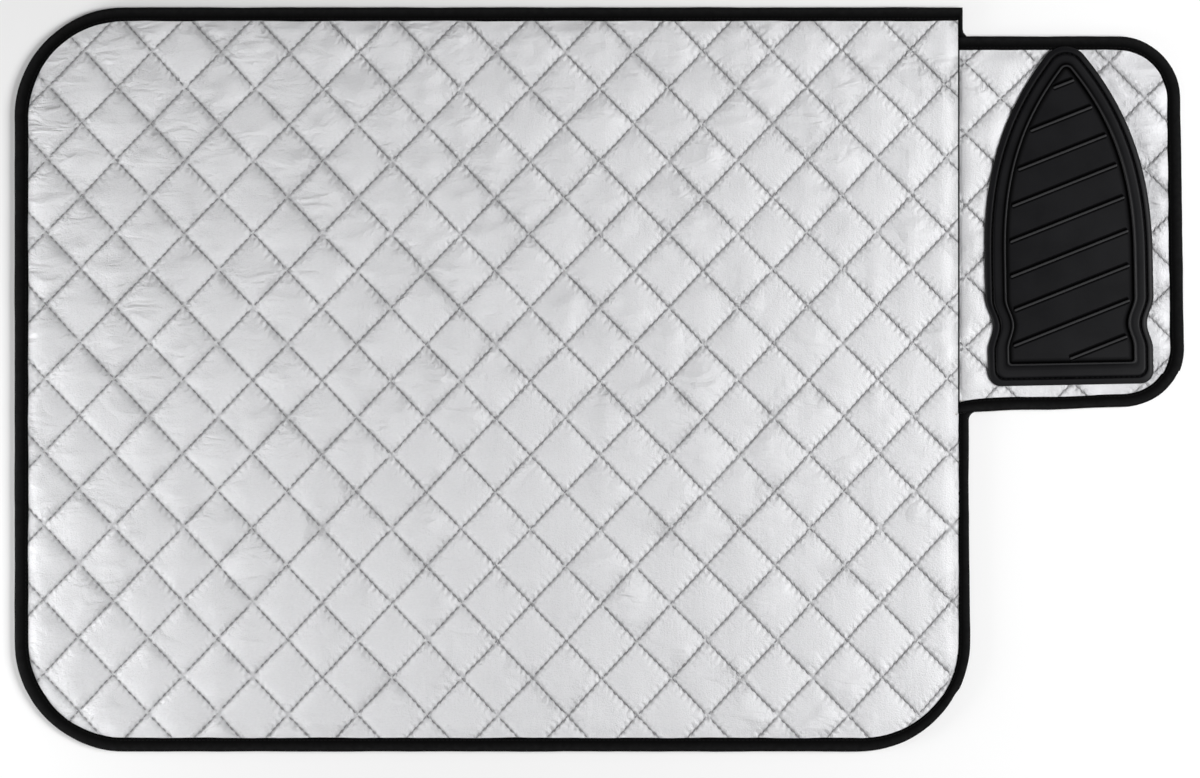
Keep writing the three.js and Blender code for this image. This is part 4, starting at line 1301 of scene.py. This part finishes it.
strip_turn = np.linspace(0, 2 * math.pi, 17)[:-1]
strip_section = [(SEAM_X + STRIP_HALF * math.cos(a), STRIP_MIDDLE + STRIP_RISE * math.sin(a))
                 for a in strip_turn]
seam_strip = swept_strip("seam_strip", strip_section, WING_BOTTOM + STRIP_END, WING_TOP - STRIP_END, 70,
                         seam_shade_finish())
hold(seam_strip, "wing")
print("seam strip", seam_strip.name)

# %% [markdown]
# ## Iron rest
# The rest is one silicone moulding: a flat flange that is sewn down in a groove, a higher rim, a bead along
# its inner edge, and a sunk floor with slanting ribs that lift the hot iron. Rings of points at growing
# insets follow the section from the outer edge to the floor.

# %% Iron rest moulding
FLANGE, FLOOR = 2.4 * MM, 1.8 * MM
GROOVE_INSET, GROOVE_DEPTH = 4.8 * MM, 0.9 * MM


def rest_section():
    """Inset, height above the underside, and painted light, from the lower edge up and in to the floor: crests
    are painted paler, as highlight with some wear, and hollows darker, as shade.
    """
    mm_points = [
        (0.35, -0.25, 0), (0.05, 0.0, 0), (0.0, 0.3, 0), (0.0, 0.6, 0), (0.2, 0.95, 0.05), (0.6, 1.35, 0.1),
        (1.3, 1.85, 0.1), (2.3, 2.22, 0.05), (3.6, 2.38, 0), (4.0, 2.28, -0.2), (4.3, 2.0, -0.5),
        (4.5, 1.62, -0.7), (4.8, 1.5, -0.8), (5.15, 1.62, -0.7), (5.4, 2.0, -0.5), (5.65, 2.5, -0.3),
        (6.0, 2.82, -0.1), (6.5, 2.97, 0), (7.4, 3.0, 0.05), (9.2, 2.98, 0), (10.2, 2.96, -0.45),
        (10.9, 2.94, -0.9), (11.4, 2.96, -1), (11.8, 3.12, -0.5), (12.2, 3.34, 0.4), (12.6, 3.4, 0.6),
        (13.0, 3.3, 0.45), (13.25, 3.05, 0), (13.38, 2.6, -0.8), (13.45, 2.1, -1), (13.6, 1.88, -1),
        (14.2, 1.8, -1), (15.0, 1.8, -0.75), (16.0, 1.8, -0.35), (17.2, 1.8, 0)]
    return [(inset * MM, height * MM, wear_and_painted_light) for inset, height, wear_and_painted_light in mm_points]


def rest_loop(inset):
    """The outline at an inset. The mould's inner loops sit a little to the right and stop short of base
    and tip."""
    loop = rest_outline(inset)
    share = smooth_step((inset / MM - 7.5) / 3.5)
    aside = np.interp(loop[:, 0] / MM, (-50, 50), (1.1, -0.3))
    shorter = np.interp(loop[:, 1] / MM, (0, 40, 170, 230), (2.5, 0.6, 0, -1.2))
    return loop + share * MM * np.column_stack([aside, shorter])


def rest_ring(inset, height):
    flat = place_on_wing(rest_loop(inset))
    return np.column_stack([flat, np.full(len(flat), REST_UNDER + height)])


def side_light_and_shade(points, wear_and_painted_light, inset):
    """Painted light and shade by side: the base and the right side are made paler, the rim's foot gets less
    painted shade there, and the bead's crest is painted less pale on the right above the base.
    """
    low = smooth_step((WING_BOTTOM + 70 * MM - points[:, 1]) / (60 * MM))
    right = smooth_step((points[:, 0] - REST_MIDDLE.x) / (50 * MM))
    # painted light and shade that change with the side of the rest
    rim_foot = (inset > 9.5 * MM) & (inset < 12 * MM) & (wear_and_painted_light < 0)
    wear_and_painted_light = np.where(rim_foot, wear_and_painted_light * (1 - 0.65 * np.maximum(low, right)), wear_and_painted_light)
    wear_and_painted_light = np.where(wear_and_painted_light > 0.3, wear_and_painted_light * (1 - 0.45 * right * (1 - low)), wear_and_painted_light)
    return wear_and_painted_light + (0.14 * low + 0.08 * right) * (wear_and_painted_light > -0.7)


insets, heights, wear_and_light_values = zip(*rest_section())
rings = [rest_ring(inset, height) for inset, height in zip(insets, heights)]
ring_length = len(rings[0])
moulding_points = np.concatenate(rings)
ring_number = np.arange(len(moulding_points)).reshape(len(rings), ring_length)
moulding_faces = net_faces(np.hstack([ring_number, ring_number[:, :1]])).reshape(-1, 4).tolist()
moulding_faces += [ring_number[-1].tolist(), ring_number[0, ::-1].tolist()]
moulding_wear_and_light = side_light_and_shade(moulding_points, np.repeat(wear_and_light_values, ring_length), np.repeat(insets, ring_length))
print("moulding", len(moulding_points), "points")

# %% [markdown]
# The ribs are low rounded bars. Their feet run out into the floor in a small fillet, and both ends slope down.
# They stop just short of the bead. Each rib has a painted highlight along its top and painted shade at its
# feet, darker and wider at the upper foot, so that its lower flank looks paler.

# %% Ribs
RIB_COUNT, RIB_PITCH, FIRST_RIB, RIB_ANGLE = 9, 24 * MM, 18.2 * MM, math.radians(20.4)
RIB_HALF, RIB_HEIGHT, RIB_END_GAP, RIB_END_RUN = 1.0 * MM, 1.0 * MM, 2.4 * MM, 1.1 * MM
FLOOR_INSET = 13.7 * MM  # where the floor starts, inside the bead
TIP_CLOSING = 0.75 * MM  # the pitch closes up this much for each rib after the sixth


def rib_ends(height):
    """Where a slanting line meets the edge of the floor."""
    edge = rest_loop(FLOOR_INSET + RIB_END_GAP)
    along = np.array([math.cos(RIB_ANGLE), math.sin(RIB_ANGLE)])
    side = along[0] * (edge[:, 1] - height) - along[1] * edge[:, 0]
    following = np.roll(side, -1)
    meets = np.flatnonzero((side >= 0) != (following >= 0))
    share = (side[meets] / (side[meets] - following[meets]))[:, None]
    crossings = edge[meets] + share * (np.roll(edge, -1, axis=0)[meets] - edge[meets])
    order = np.argsort(crossings @ along)
    return crossings[order[0]], crossings[order[-1]]


def rib_mesh(height):
    left, right = rib_ends(height)
    along = (right - left) / np.linalg.norm(right - left)
    across = np.array([-along[1], along[0]])
    length = np.linalg.norm(right - left)
    stations = np.concatenate([[0, 0.12, 0.35, 0.7, 1.1], np.linspace(1.6, length / MM - 1.6, 12),
                               length / MM - np.array([1.1, 0.7, 0.35, 0.12, 0])]) * MM
    # third numbers: painted highlight on the rib's top, and painted shade at its feet, more at the upper foot
    flank = [(1.2, 0.1, -1), (0.98, 0.3, -0.7), (0.8, 0.62, 0.2), (0.6, 0.85, 0.9), (0.3, 0.97, 1)]
    lower = [(2.6, -0.06, 0), (2.2, 0.02, -0.35), (1.6, 0.04, -0.75)] + flank
    upper = [(3.9, -0.06, 0), (3.2, 0.02, -0.3), (2.5, 0.03, -0.75), (1.9, 0.04, -1), (1.6, 0.05, -1)] + flank
    profile = np.array([(-x, z, w) for x, z, w in lower] + [(0, 1.0, 1)] + upper[::-1])
    to_end = np.minimum(stations, length - stations)
    taper = np.sqrt(np.clip(1 - (1 - np.clip(to_end / RIB_END_RUN, 0, 1)) ** 2, 0, 1))
    rows = []
    for station, full in zip(stations, taper):
        flat = left + along * station + np.outer(profile[:, 0] * RIB_HALF * (0.35 + 0.65 * full), across)
        raised = np.where(profile[:, 1] > 0, full, 1) * np.minimum(profile[:, 1], 2) * RIB_HEIGHT
        rows.append(np.column_stack([place_on_wing(flat), REST_UNDER + FLOOR + raised - 0.02 * MM]))
    number = np.arange(len(rows) * len(profile)).reshape(len(rows), len(profile))
    faces = net_faces(number).reshape(-1, 4)[:, TURNED]
    return np.concatenate(rows), faces.tolist(), np.outer(taper, profile[:, 2]).ravel()


for k in range(RIB_COUNT):
    points, faces, wear_and_painted_light = rib_mesh(FIRST_RIB + k * RIB_PITCH - TIP_CLOSING * max(k - 5, 0))
    moulding_faces += [[v + len(moulding_points) for v in f] for f in faces]
    moulding_points = np.concatenate([moulding_points, points])
    moulding_wear_and_light = np.concatenate([moulding_wear_and_light, wear_and_painted_light])
rest = add_mesh("rest_moulding", moulding_points, moulding_faces)
face_outwards(rest)
# painted highlight on crests and painted shade in hollows
paint(rest, "wear_and_painted_light", moulding_wear_and_light)
coat(rest, silicone)
rest.data.set_sharp_from_angle(angle=math.radians(50))
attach(rest, "wing")
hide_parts("iron_rest")
print("iron rest", len(rest.data.polygons), "faces")

# %% [markdown]
# Black stitches lie in the groove and hold the rest on the wing.

# %% Stitches of the rest
REST_STITCH_PITCH, REST_STITCH_SHARE = 3.6 * MM, 0.7
REST_STITCH_WIDTH, REST_STITCH_ARCH, REST_STITCH_LIFT = 0.6 * MM, 0.2 * MM, 0.12 * MM
groove_line = place_on_wing(rest_outline(GROOVE_INSET))
groove_loop = np.concatenate([groove_line, groove_line[:1]])
groove_start, groove_end = along_path(groove_loop, REST_STITCH_PITCH, REST_STITCH_SHARE)
groove_level = np.full(len(groove_start), REST_UNDER + FLANGE - GROOVE_DEPTH + REST_STITCH_LIFT)
rest_ends = [np.column_stack([p, groove_level]) for p in (groove_start, groove_end)]
rest_stitches = lay_stitches("rest_stitching", *rest_ends, REST_STITCH_WIDTH, REST_STITCH_ARCH, black_thread)
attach(rest_stitches, "wing")
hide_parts("rest_thread")
print("rest stitches", len(groove_start))

# %% [markdown]
# ## Floor and light
# The photograph was taken on white, in soft light from the lower left and the right. A pale floor keeps
# the shadow, the sky fills in evenly, and two big soft lamps give the pillows their shape.

# %% Floor
FLOOR_HALF, FLOOR_LEVEL = 12, -0.3 * MM
FLOOR_TONE = 0.81
FLOOR_LIFT, FAR_LIFT = 0.115, 0.85  # bring the floor that the camera sees up to white, near and far
LIFT_START, LIFT_END = 0.65, 2.2  # metres from the middle of the pad


def watched(owner):
    """1 for rays that show a background: those of the camera, and those that gloss or glass sends on."""
    kinds = ("Camera", "Glossy", "Transmission")
    camera_ray, glossy, through = (add_node(owner, "LightPath", give=f"Is {kind} Ray") for kind in kinds)
    return camera_ray.do("MAXIMUM", glossy.do("MAXIMUM", through))


corner_signs = ((-1, -1), (1, -1), (1, 1), (-1, 1))
floor_corners = [(x * FLOOR_HALF, y * FLOOR_HALF, FLOOR_LEVEL) for x, y in corner_signs]
floor = add_mesh("floor", floor_corners, [(0, 1, 2, 3)])
paper, paper_place = new_finish("pale_floor", roughness=0.9, specular_ior_level=0.1,
                                emission_color=(1, 1, 1, 1))
paper_tone = tones(grain(paper_place, (3, 3, 3)), (FLOOR_TONE,) * 3, (FLOOR_TONE + 0.01,) * 3)
away = add_node(paper, "VectorMath", {0: paper_place}, give="Value", operation="LENGTH")
lift = mapped(away, LIFT_START, LIFT_END, FLOOR_LIFT, FAR_LIFT, interpolation_type="SMOOTHSTEP")
dress(paper, base_color=paper_tone, emission_strength=watched(paper) * lift)
floor.data.materials.append(paper)
print("floor", floor.name)

# %% Lamps and sky
SKY_SIDES, SKY_OVERHEAD = 0.177, 0.084  # darker above, where the camera hangs between the lamps
SKY_LOW, SKY_HIGH = 0.2, 0.95  # between these heights of the direction, the sky gets darker
HORIZON_LOW, HORIZON_HIGH = 0.08, 0.22  # where a pale horizon, for seen rays only, fades out


def add_lamp(name, place, size, power):
    lamp = bpy.data.lights.new(name, "AREA")
    lamp.shape, lamp.size, lamp.energy = "SQUARE", size, power
    stand = bpy.data.objects.new(name, lamp)
    stand.location = place
    stand.rotation_euler = (-Vector(place)).to_track_quat("-Z", "Y").to_euler()
    scene.collection.objects.link(stand)


add_lamp("left_lamp", (-1.1, -0.33, 0.17), 0.5, 13.0)
add_lamp("right_lamp", (1.85, -0.04, 1.6), 1.2, 69)
world = bpy.data.worlds.new("studio")
world.use_nodes = True
scene.world = world
sky = world.node_tree.nodes["Background"]
upward = coordinate(add_node(world, "TexCoord", give="Generated"), "Z")
glow = mapped(upward, SKY_LOW, SKY_HIGH, SKY_SIDES, SKY_OVERHEAD, interpolation_type="SMOOTHSTEP")
horizon = mapped(upward, HORIZON_LOW, HORIZON_HIGH, 1.0, 0.0, interpolation_type="SMOOTHSTEP")
set_socket(world, sky.inputs["Strength"], mapped(watched(world) * horizon, 0.0, 1.0, glow, 1.0))
set_socket(world, sky.inputs["Color"], (1, 1, 1, 1))
scene.view_settings.view_transform = "Standard"
print("sky", SKY_SIDES, SKY_OVERHEAD)

# %% Update the scene
bpy.context.view_layer.update()
